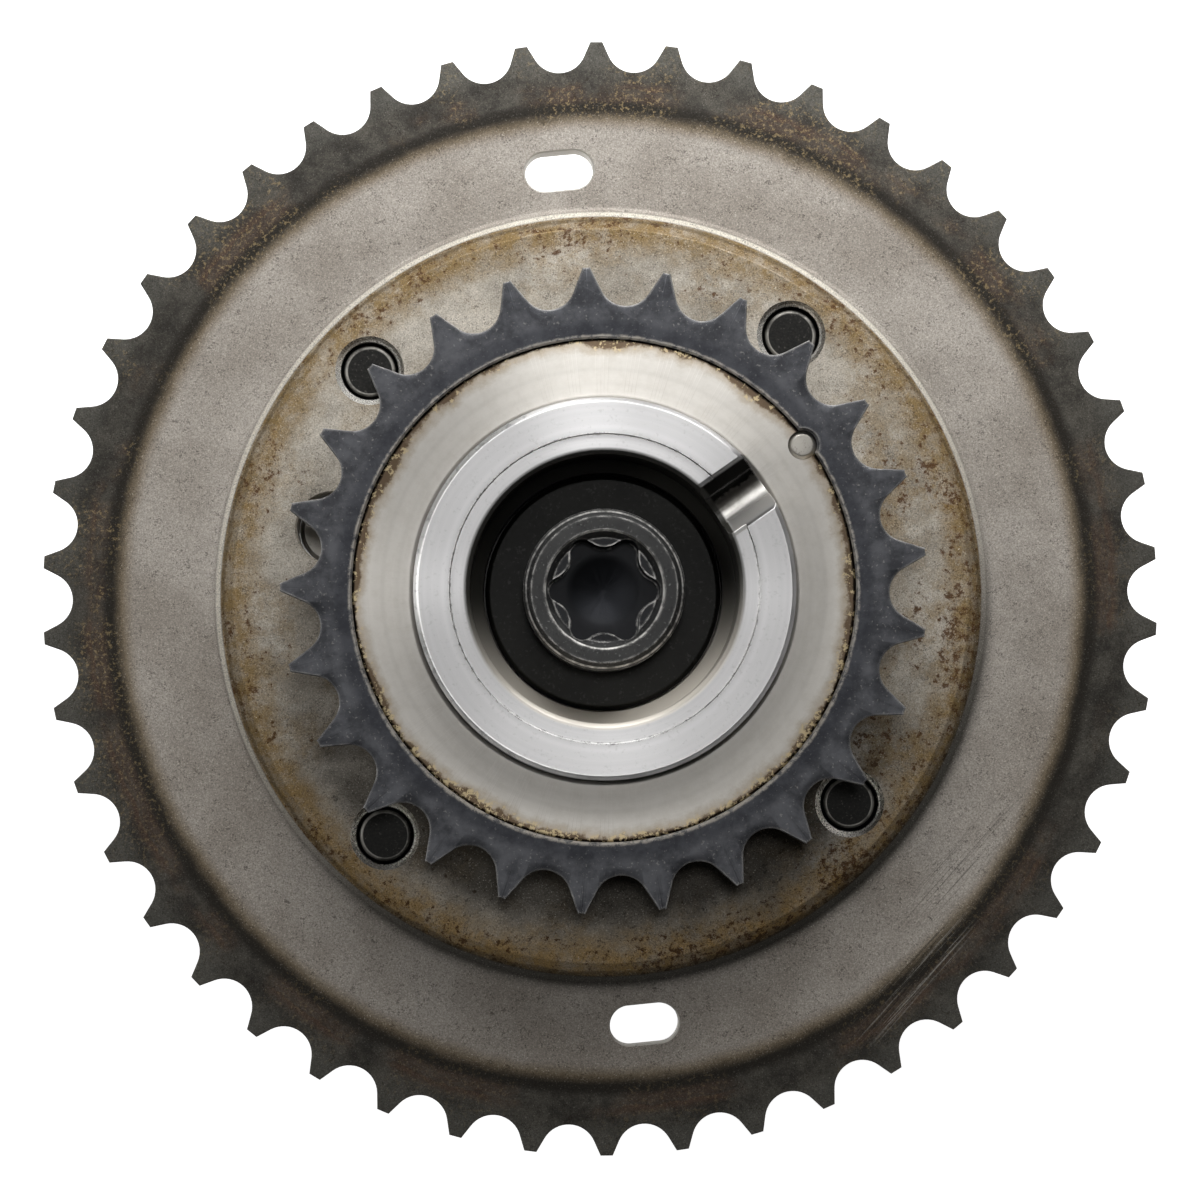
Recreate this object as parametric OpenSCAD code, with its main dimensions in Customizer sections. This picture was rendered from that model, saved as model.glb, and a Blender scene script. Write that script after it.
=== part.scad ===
// Double-sprocket cam phaser: a chain-driven housing with four oil chambers and a
// vaned rotor inside that turns by a small angle against it.
// Origin on the phaser's axis at the plane that the screw heads stand on.
// +Z runs to the front, where the small sprocket and the centre bolt are.

/* [Chains] */
// Distance between neighbouring links of both chains
chain_pitch = 8; // [7.7:0.05:9.6]
// Diameter of the chains' rollers
roller_d = 5; // [4.4:0.05:5.4]
// Teeth on the large sprocket
primary_teeth = 46; // [42:1:50]
// Teeth on the small sprocket
secondary_teeth = 25; // [25:1:27]
// Angle of the large sprocket's first tooth
primary_phase = 4.445; // [0:0.005:8]
// Angle of the small sprocket's first tooth
secondary_phase = 6.8; // [0:0.1:14]

/* [Sprocket teeth] */
// Thickness of the large sprocket's teeth
primary_tooth_t = 2.8; // [2:0.1:3.2]
// Thickness of the small sprocket
ring_t = 2.8; // [2:0.1:4]
// Height of a large sprocket's tooth tip over the pitch circle
primary_tip_rise = 0.68; // [0.4:0.02:1]
// Height of a small sprocket's tooth tip over the pitch circle
secondary_tip_rise = 1.42; // [0.8:0.02:1.7]
// Width of the flat on a large sprocket's tooth tip
primary_tip_land = 1.2; // [0.6:0.05:1.3]
// Width of the flat on a small sprocket's tooth tip
secondary_tip_land = 0.55; // [0.4:0.05:1]
// Extra radius of the large sprocket's roller seats
primary_seat_play = 0.45; // [0.3:0.01:0.55]
// Extra radius of the small sprocket's roller seats
secondary_seat_play = 0.28; // [0.02:0.01:0.4]
// Bevel on the edges of the tooth tips
tip_bevel = 0.35; // [0.2:0.05:0.5]
// Width of the relieved band behind the large sprocket's teeth
tooth_band_w = 4.8; // [4:0.1:5.8]

/* [Sprocket plate] */
// Thickness of the plate's web
web_t = 3.4; // [3.3:0.1:5]
// Height of the raised face over the web
plateau_rise = 1.8; // [1.4:0.1:2.4]
// Width of the slope around the raised face
plateau_slope_w = 1.4; // [1:0.1:2]
// Radius of the fillet at the foot of the slope
plateau_foot_fillet = 1; // [0.5:0.1:1.5]
// Width of the two slots in the web
slot_w = 4.2; // [3.5:0.1:4.6]
// Length of the two slots in the web
slot_l = 7.3; // [6:0.1:12]
// Angle of the first slot
slot_angle = 95.7; // [80:0.1:110]
// Distance of the slots from the foot of the slope
slot_margin = 2.9; // [2:0.1:3.2]
// Wall of the neck under the small sprocket
neck_wall = 4.3; // [3:0.1:4.5]
// Radius of the fillet at the foot of the neck
neck_fillet = 1; // [0.5:0.1:1.4]
// Width of the shoulder that the small sprocket seats on
shoulder_w = 1.6; // [1:0.1:2.2]
// Height of that shoulder's rim
shoulder_t = 3.4; // [2.5:0.1:4.2]
// Height of the small sprocket's seat over the web
ring_lift = 11.2; // [9:0.1:14]
// Wall between the rotor's nose and the small sprocket
hub_wall = 6.3; // [5.5:0.1:7.2]
// Depth of the hub's face under the small sprocket's face
hub_face_drop = 0.4; // [0.2:0.05:0.6]

/* [Timing pin] */
// Diameter of the pin that fixes the small sprocket's angle
timing_pin_d = 3; // [2.4:0.1:3.6]
// Angle of the pin
timing_pin_angle = 36.2; // [20:0.1:50]
// Distance of the pin's centre inside the sprocket's seat
timing_pin_inset = 0.6; // [0.3:0.05:0.9]
// Depth of the bevel around the pin's hole
timing_mouth = 0.25; // [0.1:0.05:0.3]
// Depth of the pin's end under the small sprocket's face
timing_pin_drop = 0.5; // [0.3:0.05:0.8]

/* [Stator and cover] */
// Length of the stator
stator_t = 20; // [17:0.5:26]
// Thickness of the rear cover
cover_t = 5; // [4:0.1:7]
// Wall outside the oil chambers
stator_wall = 4.5; // [4:0.1:5.2]
// Depth of the oil chambers outside the rotor's hub
chamber_depth = 14.5; // [13:0.1:16]
// Bevel on the housing's outer edges
housing_bevel = 0.6; // [0.3:0.1:1]

/* [Screws] */
// Thread diameter of the four housing screws
screw_d = 6; // [5:0.1:6.6]
// Diameter of the screw heads
screw_head_d = 10; // [9.4:0.1:10.8]
// Height of the screw heads
screw_head_h = 4; // [3.2:0.1:5]
// Width of the lobed recess in the screw heads
screw_recess_w = 5.6; // [4.5:0.1:5.6]
// Depth of the lobed recess in the screw heads
screw_recess_depth = 2.4; // [1.8:0.1:2.8]
// Distance from a screw's centre to the housing's edge
screw_edge = 6.3; // [5.6:0.1:7]
// Depth of the screw ends under the raised face
screw_end_drop = 0.9; // [0.5:0.1:1.3]
// Width of the bevel around the screw ends
screw_mouth = 0.6; // [0.3:0.1:0.8]

/* [Rotor] */
// Length of the rotor's round shoulder outside the nose
hub_shoulder = 1.9; // [1.5:0.1:2.5]
// Height of the boss over the hub's face
boss_rise = 3.4; // [3:0.1:4.5]
// Wall of the rotor's nose around the front bore
nose_wall = 5.8; // [5:0.1:6.6]
// Width of the polished land around the front bore
boss_land_w = 2.05; // [1.5:0.05:3]
// Depth of that land under the boss
boss_land_drop = 0.35; // [0.2:0.05:0.6]
// Angle of the slot across the boss
boss_slot_angle = 35; // [20:1:60]
// Width of the slot's floor
boss_slot_w = 3.2; // [2.6:0.1:4]
// Depth of the slot
boss_slot_depth = 3.1; // [2.6:0.1:3.2]
// Width of the bevels along the slot
boss_slot_bevel = 1.6; // [0.8:0.05:1.8]
// Hollow of the slot's rounded floor
boss_slot_hollow = 0.7; // [0.4:0.05:0.8]
// Radius of the cam nose that the rear of the rotor takes
cam_bore_r = 14; // [13:0.1:15]
// Wall of the rotor's rear spigot
rear_nose_wall = 3.5; // [3:0.1:4]
// Depth of the cam bore inside the housing's rear cover
cam_bore_depth = 11; // [9:0.1:13]
// Angle of an ordinary vane
vane_angle = 14; // [13:0.5:16]
// Angle of the broad vane with the lock pin
lock_vane_angle = 38.8; // [36:0.1:38.8]
// Angle that the rotor can turn
phase_range = 28; // [24:0.5:28]
// Radius of the oil holes in the rotor
oil_hole_r = 0.9; // [0.6:0.1:1.1]
// Radius of the hole for the camshaft's dowel
dowel_hole_r = 2; // [1.5:0.1:2.3]
// Depth of the hole for the camshaft's dowel
dowel_hole_depth = 5; // [4:0.1:7]

/* [Seals] */
// Width of the seal strips
seal_w = 2; // [1.6:0.1:2.4]
// Height of the seal strips
seal_h = 2; // [1.6:0.1:2.4]
// Height of the bowed springs behind the strips
seal_spring_h = 0.7; // [0.5:0.05:1]
// Thickness of the bowed springs
seal_spring_t = 0.2; // [0.15:0.01:0.25]
// Wall between the lock pin's bore and the broad vane's seal
lock_seal_wall = 1.6; // [1:0.1:2]

/* [Lock pin] */
// Radius of the lock pin's tip
lock_pin_r = 3.55; // [3:0.05:3.6]
// Radius of the lock pin's head
lock_head_r = 4.5; // [4.2:0.05:4.8]
// Angle of the lock pin
lock_angle = 166.1; // [165:0.1:168]
// Distance of the lock pin outside the rotor's hub
lock_offset = 7.9; // [7.2:0.1:8.4]
// Play of the lock pin's tip in its bush
lock_play = 0.15; // [0.1:0.01:0.2]
// Wall of the bush
lock_bush_wall = 1.1; // [0.8:0.05:1.2]
// Length of the bush
lock_bush_l = 4; // [3:0.1:4.4]
// Length of the lock pin
lock_pin_l = 14; // [13.2:0.1:15]
// Length of the lock pin's head
lock_head_l = 5; // [4:0.1:6]
// Length that the pin's tip enters its bush when locked
lock_reach = 3.2; // [2.5:0.1:3.5]
// Wall of the hollow pin
lock_pin_wall = 0.8; // [0.6:0.05:1]
// Thickness of the spring seat
lock_seat_t = 1.6; // [1.2:0.1:2]
// Wire radius of the lock pin's spring
lock_wire_r = 0.3; // [0.25:0.01:0.35]
// Turns of the lock pin's spring
lock_spring_turns = 7; // [5:1:8]

/* [Centre bolt] */
// Thread diameter of the centre bolt
bolt_d = 12; // [11:0.1:13]
// Width of the bolt head outside the thread
bolt_head_wall = 2.35; // [2:0.05:2.8]
// Height of the bolt head
bolt_head_h = 7.5; // [6.5:0.1:8]
// Width of the lobed socket
socket_w = 11.6; // [10:0.05:12]
// Depth of the lobed socket
socket_depth = 5; // [4:0.1:5.4]
// Depth of the cone in the socket's floor
socket_cone = 0.9; // [0.5:0.1:1]
// Length of the thread that sticks out of the rotor
bolt_thread_l = 11.4; // [9:0.1:11.6]
// Depth of the thread's root
bolt_thread_depth = 0.4; // [0.3:0.05:0.6]
// Width of the washer outside the bolt head
washer_margin = 3.95; // [3.5:0.05:4.5]
// Thickness of the washer
washer_t = 3; // [2.5:0.1:3.4]
// Depth of the bolt head under the boss
bolt_drop = 2.3; // [1.8:0.1:3]
// Gap between the washer and its pocket
washer_gap = 0.2; // [0.1:0.05:0.4]
// Width of the step between the front bore and the pocket
pocket_step = 1.33; // [0.8:0.01:1.8]

/* [Fits] */
// Radial clearance of what turns or slides
run_gap = 0.05; // [0.02:0.01:0.08]
// Radial clearance of what is pressed or screwed in
seat_gap = 0.01; // [0.005:0.001:0.02]
// Radial clearance of the screws in the stator and the cover
screw_gap = 0.2; // [0.1:0.05:0.3]
// Bevel on bores and small edges
edge = 0.4; // [0.2:0.05:0.5]

/* [Hidden] */
$fn = 96;
// One overrun for every cut
over = 1;

// Heights along the axis
cover_z = screw_head_h;
stator_z = cover_z + cover_t;
plate_z = stator_z + stator_t;
web_z = plate_z + web_t;
plateau_z = web_z + plateau_rise;
ring_z = web_z + ring_lift;
ring_top_z = ring_z + ring_t;
hub_z = ring_top_z - hub_face_drop;
boss_z = hub_z + boss_rise;
rotor_z = stator_z + run_gap;
rotor_top_z = plate_z - run_gap;
rear_nose_z = cover_z - edge;
clamp_z = cover_z + cam_bore_depth;
bolt_top_z = boss_z - bolt_drop;
washer_top_z = bolt_top_z - bolt_head_h;
washer_z = washer_top_z - washer_t;
bolt_end_z = clamp_z - bolt_thread_l - edge;

// Radii from the bolt outwards
bolt_r = bolt_d / 2;
bolt_head_r = bolt_r + bolt_head_wall;
washer_r = bolt_head_r + washer_margin;
pocket_r = washer_r + washer_gap;
front_bore_r = pocket_r + pocket_step;
nose_r = front_bore_r + nose_wall;
plate_bore_r = nose_r + run_gap;
spigot_r = plate_bore_r + hub_wall;
neck_r = plate_bore_r + neck_wall;
shoulder_r = spigot_r + shoulder_w;
rear_nose_r = cam_bore_r + rear_nose_wall;
rotor_hub_r = nose_r + hub_shoulder;
lobe_in_r = rotor_hub_r + run_gap;
chamber_r = rotor_hub_r + chamber_depth;
vane_r = chamber_r - run_gap;
stator_r = chamber_r + stator_wall;
plateau_foot_r = stator_r + edge / 4;
plateau_r = plateau_foot_r - plateau_slope_w;
screw_circle_r = stator_r - screw_edge;
screw_r = screw_d / 2;
screw_clear_r = screw_r + screw_gap;
screw_head_r = screw_head_d / 2;
slot_circle_r = plateau_foot_r + slot_margin + slot_w / 2;
lock_circle_r = rotor_hub_r + lock_offset;
bush_bore_r = lock_pin_r + lock_play;
bush_r = bush_bore_r + lock_bush_wall;

// Sprocket circles
roller_r = roller_d / 2;
primary_pitch_r = chain_pitch / (2 * sin(180 / primary_teeth));
secondary_pitch_r = chain_pitch / (2 * sin(180 / secondary_teeth));
primary_tip_r = primary_pitch_r + primary_tip_rise;
secondary_tip_r = secondary_pitch_r + secondary_tip_rise;
band_in_r = primary_pitch_r - roller_r - tooth_band_w;
tooth_relief = web_t - primary_tooth_t;
timing_pin_r = timing_pin_d / 2;
timing_circle_r = spigot_r - timing_pin_inset;
timing_pin_z = ring_z - shoulder_t + edge;
timing_pin_l = ring_top_z - timing_pin_drop - timing_pin_z;

// Lock pin's spring and its seat
lock_seat_z = rotor_z + edge / 2;
lock_spring_low = lock_seat_z + lock_seat_t + seat_gap;
lock_spring_top = rotor_top_z - lock_reach - seat_gap;
lock_coil_r = lock_pin_r - lock_pin_wall - lock_wire_r - screw_gap;

// Angles of the screws, and of the lobes between the oil chambers
screw_angles = [54, 136, 228, 320];
vane_play_angle = 0.6;
// The lobes on both sides of the broad vane leave it just the turn that it needs
lock_chamber_angle = lock_vane_angle + phase_range + 2 * vane_play_angle;
lock_lobe_half = (screw_angles[2] - screw_angles[1] - lock_chamber_angle) / 2;
lobe_half_angles = [16, lock_lobe_half, lock_lobe_half, 21];
lobe_ends = [for (i = [0 : 3]) [screw_angles[i] - lobe_half_angles[i], screw_angles[i] + lobe_half_angles[i]]];
// Each chamber runs from one lobe's end to the next lobe's start
chamber_spans = [for (i = [0 : 3]) [lobe_ends[i][1], lobe_ends[(i + 1) % 4][0] + (i == 3 ? 360 : 0)]];
vane_widths = [vane_angle, lock_vane_angle, vane_angle, vane_angle];
vane_starts = [for (i = [0 : 3]) chamber_spans[i][0] + vane_play_angle];
// A seal stands in the middle of its vane, but beside the lock pin's bore in the broad one
seal_floor_r = vane_r - seal_h - seal_spring_h;
lock_seal_turn = asin((lock_head_r + run_gap + lock_seal_wall + seal_w / 2) / seal_floor_r);
vane_seal_angles = [for (i = [0 : 3])
    i == 1 ? lock_angle + lock_seal_turn : vane_starts[i] + vane_widths[i] / 2];
// The oil holes come out of the hub just beside the vanes
oil_angle = asin((oil_hole_r + edge) / rotor_hub_r);

// Angle that the raised face's slope looks up at
slope_angle = 38;

// Shares of the lobed drives: valley width and lobe radius over the full width
drive_valley_share = 0.765;
drive_lobe_share = 0.115;
// Share of a screw's diameter that its thread's root lies in
screw_thread_share = 0.08;
// Share of the rotor's length that a bowed spring spans
spring_length_share = 0.86;

// Points of an arc, for turned profiles
function arc(x, y, r, from, to, steps = 6) =
    [for (i = [0 : steps]) let (a = from + (to - from) * i / steps) [x + r * cos(a), y + r * sin(a)]];

function polar(r, a) = [r * cos(a), r * sin(a)];

// Where the straight flank from a tooth tip meets the roller seat
function flank_touch(seat_x, seat_r, tip_x, tip_y) =
    let (dx = tip_x - seat_x, d = norm([dx, tip_y]), a = atan2(tip_y, dx) + acos(seat_r / d))
    [seat_x + seat_r * cos(a), seat_r * sin(a)];

// Gaps between the teeth: a roller seat with straight flanks that open to the tips
module tooth_gaps(teeth, pitch_r, tip_r, tip_land, seat_play, phase) {
    seat_r = roller_r + seat_play;
    seat_x = pitch_r + seat_play;
    half_gap = tip_r * sin(180 / teeth) - tip_land / 2;
    touch = flank_touch(seat_x, seat_r, tip_r, half_gap);
    slope = (half_gap - touch[1]) / (tip_r - touch[0]);
    far_x = tip_r + over;
    far_y = half_gap + slope * over;
    for (i = [0 : teeth - 1])
        rotate(phase + (i + 0.5) * 360 / teeth) {
            translate([seat_x, 0])
                circle(seat_r, $fn = 32);
            polygon([touch, [far_x, far_y], [far_x, -far_y], [touch[0], -touch[1]]]);
        }
}

// Six-lobed drive of the given full width, drawn around the origin
module lobed_drive(width) {
    lobe_r = drive_lobe_share * width;
    lobe_x = width / 2 - lobe_r;
    valley_in = drive_valley_share * width / 2;
    // The valley circles touch the lobe circles, which gives their radius
    valley_r = (lobe_x * lobe_x + valley_in * valley_in - 2 * lobe_x * valley_in * cos(30) - lobe_r * lobe_r)
        / (2 * (lobe_r - valley_in + lobe_x * cos(30)));
    valley_x = valley_in + valley_r;
    touch_angle = atan2(valley_x * sin(30), valley_x * cos(30) - lobe_x);
    polygon([for (i = [0 : 5])
        let (
            lobe = arc(lobe_x, 0, lobe_r, -touch_angle, touch_angle, 8),
            valley = arc(valley_x * cos(30), valley_x * sin(30), valley_r, 180 + touch_angle, 240 - touch_angle, 8)
        )
        for (j = [0 : 15])
            let (p = j < 9 ? lobe[j] : valley[j - 8])
            [p[0] * cos(i * 60) - p[1] * sin(i * 60), p[0] * sin(i * 60) + p[1] * cos(i * 60)]]);
}

// Wedge between two angles, for chambers and vanes
module wedge(from, to, r) {
    far = 2 * r;
    polygon([[0, 0], polar(far, from), polar(far, (from + to) / 2), polar(far, to)]);
}

// A hole along the axis with a bevelled mouth at its top
module beveled_hole(r, bottom, top, bevel) {
    rotate_extrude()
        polygon([
            [0, bottom],
            [r, bottom],
            [r, top - bevel],
            [r + bevel + over, top + over],
            [0, top + over]
        ]);
}

module at_screws(i) {
    rotate(screw_angles[i])
        translate([screw_circle_r, 0, 0])
            children();
}

module at_lock() {
    rotate(lock_angle)
        translate([lock_circle_r, 0, 0])
            children();
}

module timing_hole() {
    rotate(timing_pin_angle)
        translate([timing_circle_r, 0, 0])
            beveled_hole(timing_pin_r + seat_gap, timing_pin_z - seat_gap, ring_top_z, timing_mouth);
}

// Large sprocket, raised face and hub for the small sprocket, in one piece
module sprocket_plate() {
    under = shoulder_r - neck_r;
    color("dimgray")
        difference() {
            rotate_extrude()
                polygon(concat(
                    [
                        [plate_bore_r + edge, plate_z],
                        [band_in_r, plate_z],
                        [band_in_r + tooth_relief, plate_z + tooth_relief],
                        [primary_tip_r - tip_bevel, plate_z + tooth_relief],
                        [primary_tip_r, plate_z + tooth_relief + tip_bevel],
                        [primary_tip_r, web_z - tip_bevel],
                        [primary_tip_r - tip_bevel, web_z]
                    ],
                    arc(plateau_foot_r + plateau_foot_fillet, web_z + plateau_foot_fillet,
                        plateau_foot_fillet, 270, 180 + slope_angle),
                    arc(plateau_r - edge, plateau_z - edge, edge, slope_angle, 90),
                    arc(neck_r + neck_fillet, plateau_z + neck_fillet, neck_fillet, 270, 180),
                    [
                        [neck_r, ring_z - shoulder_t - under],
                        [shoulder_r, ring_z - shoulder_t],
                        [shoulder_r, ring_z],
                        [spigot_r, ring_z],
                        [spigot_r, hub_z - edge / 2],
                        [spigot_r - edge / 2, hub_z],
                        [plate_bore_r + edge, hub_z],
                        [plate_bore_r, hub_z - edge],
                        [plate_bore_r, plate_z + edge]
                    ]
                ));
            translate([0, 0, plate_z - over])
                linear_extrude(web_t + 2 * over)
                    tooth_gaps(primary_teeth, primary_pitch_r, primary_tip_r, primary_tip_land,
                        primary_seat_play, primary_phase);
            for (side = [0, 180])
                rotate(slot_angle + side)
                    translate([slot_circle_r, 0, plate_z - over])
                        linear_extrude(web_t + 2 * over)
                            web_slot();
            for (i = [0 : 3])
                at_screws(i)
                    beveled_hole(screw_r + run_gap, plate_z - over, plateau_z, screw_mouth);
            at_lock()
                rotate_extrude()
                    polygon([
                        [0, plate_z - over],
                        [bush_r + seat_gap, plate_z - over],
                        [bush_r + seat_gap, plate_z + lock_bush_l + seat_gap],
                        [bush_bore_r, plate_z + lock_bush_l + seat_gap],
                        [bush_bore_r, plateau_z - edge / 2],
                        [bush_bore_r + edge / 2 + over, plateau_z + over],
                        [0, plateau_z + over]
                    ]);
            timing_hole();
        }
}

// Round-ended slot, its length across the radius
module web_slot() {
    straight = slot_l - slot_w;
    square([slot_w, straight], center = true);
    for (side = [-1, 1])
        translate([0, side * straight / 2])
            circle(slot_w / 2);
}

// Ring of teeth for the second chain, pressed on the hub
module secondary_sprocket() {
    seat_r = spigot_r + seat_gap;
    color("darkslategray")
        difference() {
            rotate_extrude()
                polygon([
                    [seat_r, ring_z + edge / 2],
                    [seat_r + edge / 2, ring_z],
                    [secondary_tip_r - tip_bevel, ring_z],
                    [secondary_tip_r, ring_z + tip_bevel],
                    [secondary_tip_r, ring_top_z - tip_bevel],
                    [secondary_tip_r - tip_bevel, ring_top_z],
                    [seat_r + edge / 2, ring_top_z],
                    [seat_r, ring_top_z - edge / 2]
                ]);
            translate([0, 0, ring_z - over])
                linear_extrude(ring_t + 2 * over)
                    tooth_gaps(secondary_teeth, secondary_pitch_r, secondary_tip_r, secondary_tip_land,
                        secondary_seat_play, secondary_phase);
            timing_hole();
        }
}

module timing_pin() {
    color("silver")
        rotate(timing_pin_angle)
            translate([timing_circle_r, 0, timing_pin_z]) {
                cylinder(r = timing_pin_r, h = timing_pin_l - edge, $fn = 48);
                translate([0, 0, timing_pin_l - edge])
                    cylinder(r1 = timing_pin_r, r2 = timing_pin_r - edge, h = edge, $fn = 48);
            }
}

// Seat of a strip seal: a slot for the strip and its bowed spring
module seal_slot(open_r, inward) {
    depth = seal_h + seal_spring_h;
    translate([inward ? open_r + depth / 2 - over / 2 : open_r - depth / 2 + over / 2, 0])
        square([depth + over, seal_w], center = true);
}

module stator() {
    color("gray")
        difference() {
            rotate_extrude()
                polygon([
                    [rotor_hub_r / 2, stator_z],
                    [stator_r - housing_bevel, stator_z],
                    [stator_r, stator_z + housing_bevel],
                    [stator_r, plate_z - housing_bevel],
                    [stator_r - housing_bevel, plate_z],
                    [rotor_hub_r / 2, plate_z]
                ]);
            translate([0, 0, stator_z - over])
                linear_extrude(stator_t + 2 * over) {
                    circle(lobe_in_r);
                    intersection() {
                        circle(chamber_r);
                        for (span = chamber_spans)
                            wedge(span[0], span[1], chamber_r);
                    }
                    for (a = screw_angles)
                        rotate(a)
                            seal_slot(lobe_in_r, true);
                }
            for (i = [0 : 3])
                at_screws(i)
                    translate([0, 0, stator_z - over])
                        cylinder(r = screw_clear_r, h = stator_t + 2 * over);
        }
}

module rear_cover() {
    bore_r = rear_nose_r + run_gap;
    color("gray")
        difference() {
            rotate_extrude()
                polygon([
                    [bore_r + edge, cover_z],
                    [stator_r - housing_bevel, cover_z],
                    [stator_r, cover_z + housing_bevel],
                    [stator_r, stator_z - housing_bevel / 2],
                    [stator_r - housing_bevel / 2, stator_z],
                    [bore_r + edge, stator_z],
                    [bore_r, stator_z - edge],
                    [bore_r, cover_z + edge]
                ]);
            for (i = [0 : 3])
                at_screws(i)
                    translate([0, 0, cover_z - over])
                        cylinder(r = screw_clear_r, h = cover_t + 2 * over);
        }
}

// Housing screw, head down, its end just under the raised face
module screw(i) {
    end_z = plateau_z - screw_end_drop;
    core_r = screw_r - screw_thread_share * screw_d;
    color("dimgray")
        at_screws(i)
            difference() {
                rotate_extrude()
                    polygon([
                        [0, 0],
                        [screw_head_r - edge, 0],
                        [screw_head_r, edge],
                        [screw_head_r, cover_z - edge / 2],
                        [screw_head_r - edge / 2, cover_z],
                        [screw_r, cover_z],
                        [screw_r, end_z - edge],
                        [core_r, end_z],
                        [0, end_z]
                    ]);
                translate([0, 0, -over])
                    linear_extrude(screw_recess_depth + over)
                        lobed_drive(screw_recess_w);
            }
}

// Rotor: four vanes around a hub, with the nose that carries the boss in front
// and the spigot that turns in the rear cover
module rotor() {
    color("lightgray")
        difference() {
            union() {
                translate([0, 0, rotor_z])
                    linear_extrude(rotor_top_z - rotor_z)
                        rotor_outline();
                rotate_extrude()
                    polygon([
                        [cam_bore_r / 2, rear_nose_z],
                        [rear_nose_r - edge, rear_nose_z],
                        [rear_nose_r, rear_nose_z + edge],
                        [rear_nose_r, rotor_z + edge],
                        [nose_r, rotor_top_z - edge],
                        [nose_r, boss_z - edge],
                        [nose_r - edge, boss_z],
                        [cam_bore_r / 2, boss_z]
                    ]);
            }
            rotor_bore();
            boss_slot();
            at_lock()
                lock_bore();
            for (i = [0 : 3]) {
                rotate(vane_starts[i] - oil_angle)
                    oil_hole(clamp_z - 2 * oil_hole_r);
                rotate(vane_starts[i] + vane_widths[i] + oil_angle)
                    oil_hole(rotor_z + 2 * oil_hole_r);
            }
            rotate(lock_angle)
                translate([(bolt_r + cam_bore_r) / 2, 0, clamp_z - over])
                    cylinder(r = dowel_hole_r, h = dowel_hole_depth + over, $fn = 48);
        }
}

module rotor_outline() {
    difference() {
        union() {
            circle(rotor_hub_r);
            intersection() {
                circle(vane_r);
                for (i = [0 : 3])
                    wedge(vane_starts[i], vane_starts[i] + vane_widths[i], vane_r);
            }
        }
        for (i = [0 : 3])
            rotate(vane_seal_angles[i])
                seal_slot(vane_r, false);
    }
}

// Cam bore from the rear, bolt hole, washer pocket and front bore
module rotor_bore() {
    hole_r = bolt_r + 2 * screw_gap;
    land_r = front_bore_r + boss_land_w;
    pocket_z = washer_top_z + edge;
    rotate_extrude()
        polygon([
            [0, rear_nose_z - over],
            [cam_bore_r + edge + over, rear_nose_z - over],
            [cam_bore_r, rear_nose_z + edge],
            [cam_bore_r, clamp_z],
            [hole_r, clamp_z],
            [hole_r, washer_z],
            [pocket_r, washer_z],
            [pocket_r, pocket_z],
            [front_bore_r, pocket_z + pocket_step],
            [front_bore_r, boss_z - boss_land_drop - edge],
            [front_bore_r + edge, boss_z - boss_land_drop],
            [land_r, boss_z - boss_land_drop],
            [land_r, boss_z + over],
            [0, boss_z + over]
        ]);
}

// Radial oil hole from the cam bore into the chamber beside a vane
module oil_hole(z) {
    start = (cam_bore_r + bolt_r) / 2;
    translate([start, 0, z])
        rotate([0, 90, 0])
            cylinder(r = oil_hole_r, h = rotor_hub_r + over - start, $fn = 24);
}

// Slot across one side of the boss, round-floored with bevelled lips
module boss_slot() {
    half = boss_slot_w / 2;
    top = boss_slot_depth + over;
    floor_r = (half * half + boss_slot_hollow * boss_slot_hollow) / (2 * boss_slot_hollow);
    floor_turn = asin(half / floor_r);
    rotate(boss_slot_angle)
        translate([front_bore_r / 2, 0, boss_z - boss_slot_depth])
            rotate([90, 0, 90])
                linear_extrude(nose_r)
                    polygon(concat(
                        arc(0, floor_r, floor_r, 270 - floor_turn, 270 + floor_turn, 8),
                        [
                            [half, boss_slot_depth - boss_slot_bevel],
                            [half + boss_slot_bevel + over, top],
                            [-half - boss_slot_bevel - over, top],
                            [-half, boss_slot_depth - boss_slot_bevel]
                        ]
                    ));
}

// Stepped bore in the broad vane: wide for the pin's head, narrow for its tip
module lock_bore() {
    step_z = rotor_top_z - lock_pin_l + lock_head_l + lock_reach + edge;
    rotate_extrude()
        polygon([
            [0, rotor_z - over],
            [lock_head_r + run_gap, rotor_z - over],
            [lock_head_r + run_gap, step_z],
            [lock_pin_r + run_gap, step_z],
            [lock_pin_r + run_gap, rotor_top_z + over],
            [0, rotor_top_z + over]
        ]);
}

// Strip seal with a rounded working edge, standing along the axis
module seal_strip(edge_r, inward) {
    play = run_gap / 2;
    low = inward ? edge_r : edge_r - seal_h;
    translate([0, 0, rotor_z + play])
        linear_extrude(rotor_top_z - rotor_z - 2 * play)
            intersection() {
                translate([low, -seal_w / 2 + play])
                    square([seal_h, seal_w - 2 * play]);
                difference() {
                    circle(inward ? edge_r + 2 * seal_h : edge_r);
                    if (inward)
                        circle(edge_r);
                }
            }
}

// Bowed leaf spring with its ends on the slot's floor and its crown at the strip
module seal_spring(floor_r, outward) {
    length = (rotor_top_z - rotor_z) * spring_length_share;
    play = run_gap / 2;
    rise = seal_spring_h - 2 * play;
    bow = rise - seal_spring_t;
    bow_r = (length * length / 4 + bow * bow) / (2 * bow);
    mid_z = (rotor_z + rotor_top_z) / 2;
    side = outward ? 1 : -1;
    translate([floor_r + side * play, 0, mid_z])
        rotate([90, 0, 0])
            linear_extrude(seal_w - 4 * play, center = true)
                intersection() {
                    translate([side * (rise - bow_r), 0])
                        difference() {
                            circle(bow_r, $fn = 720);
                            circle(bow_r - seal_spring_t, $fn = 720);
                        }
                    translate([outward ? 0 : -rise, -length / 2])
                        square([rise, length]);
                }
}

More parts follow.
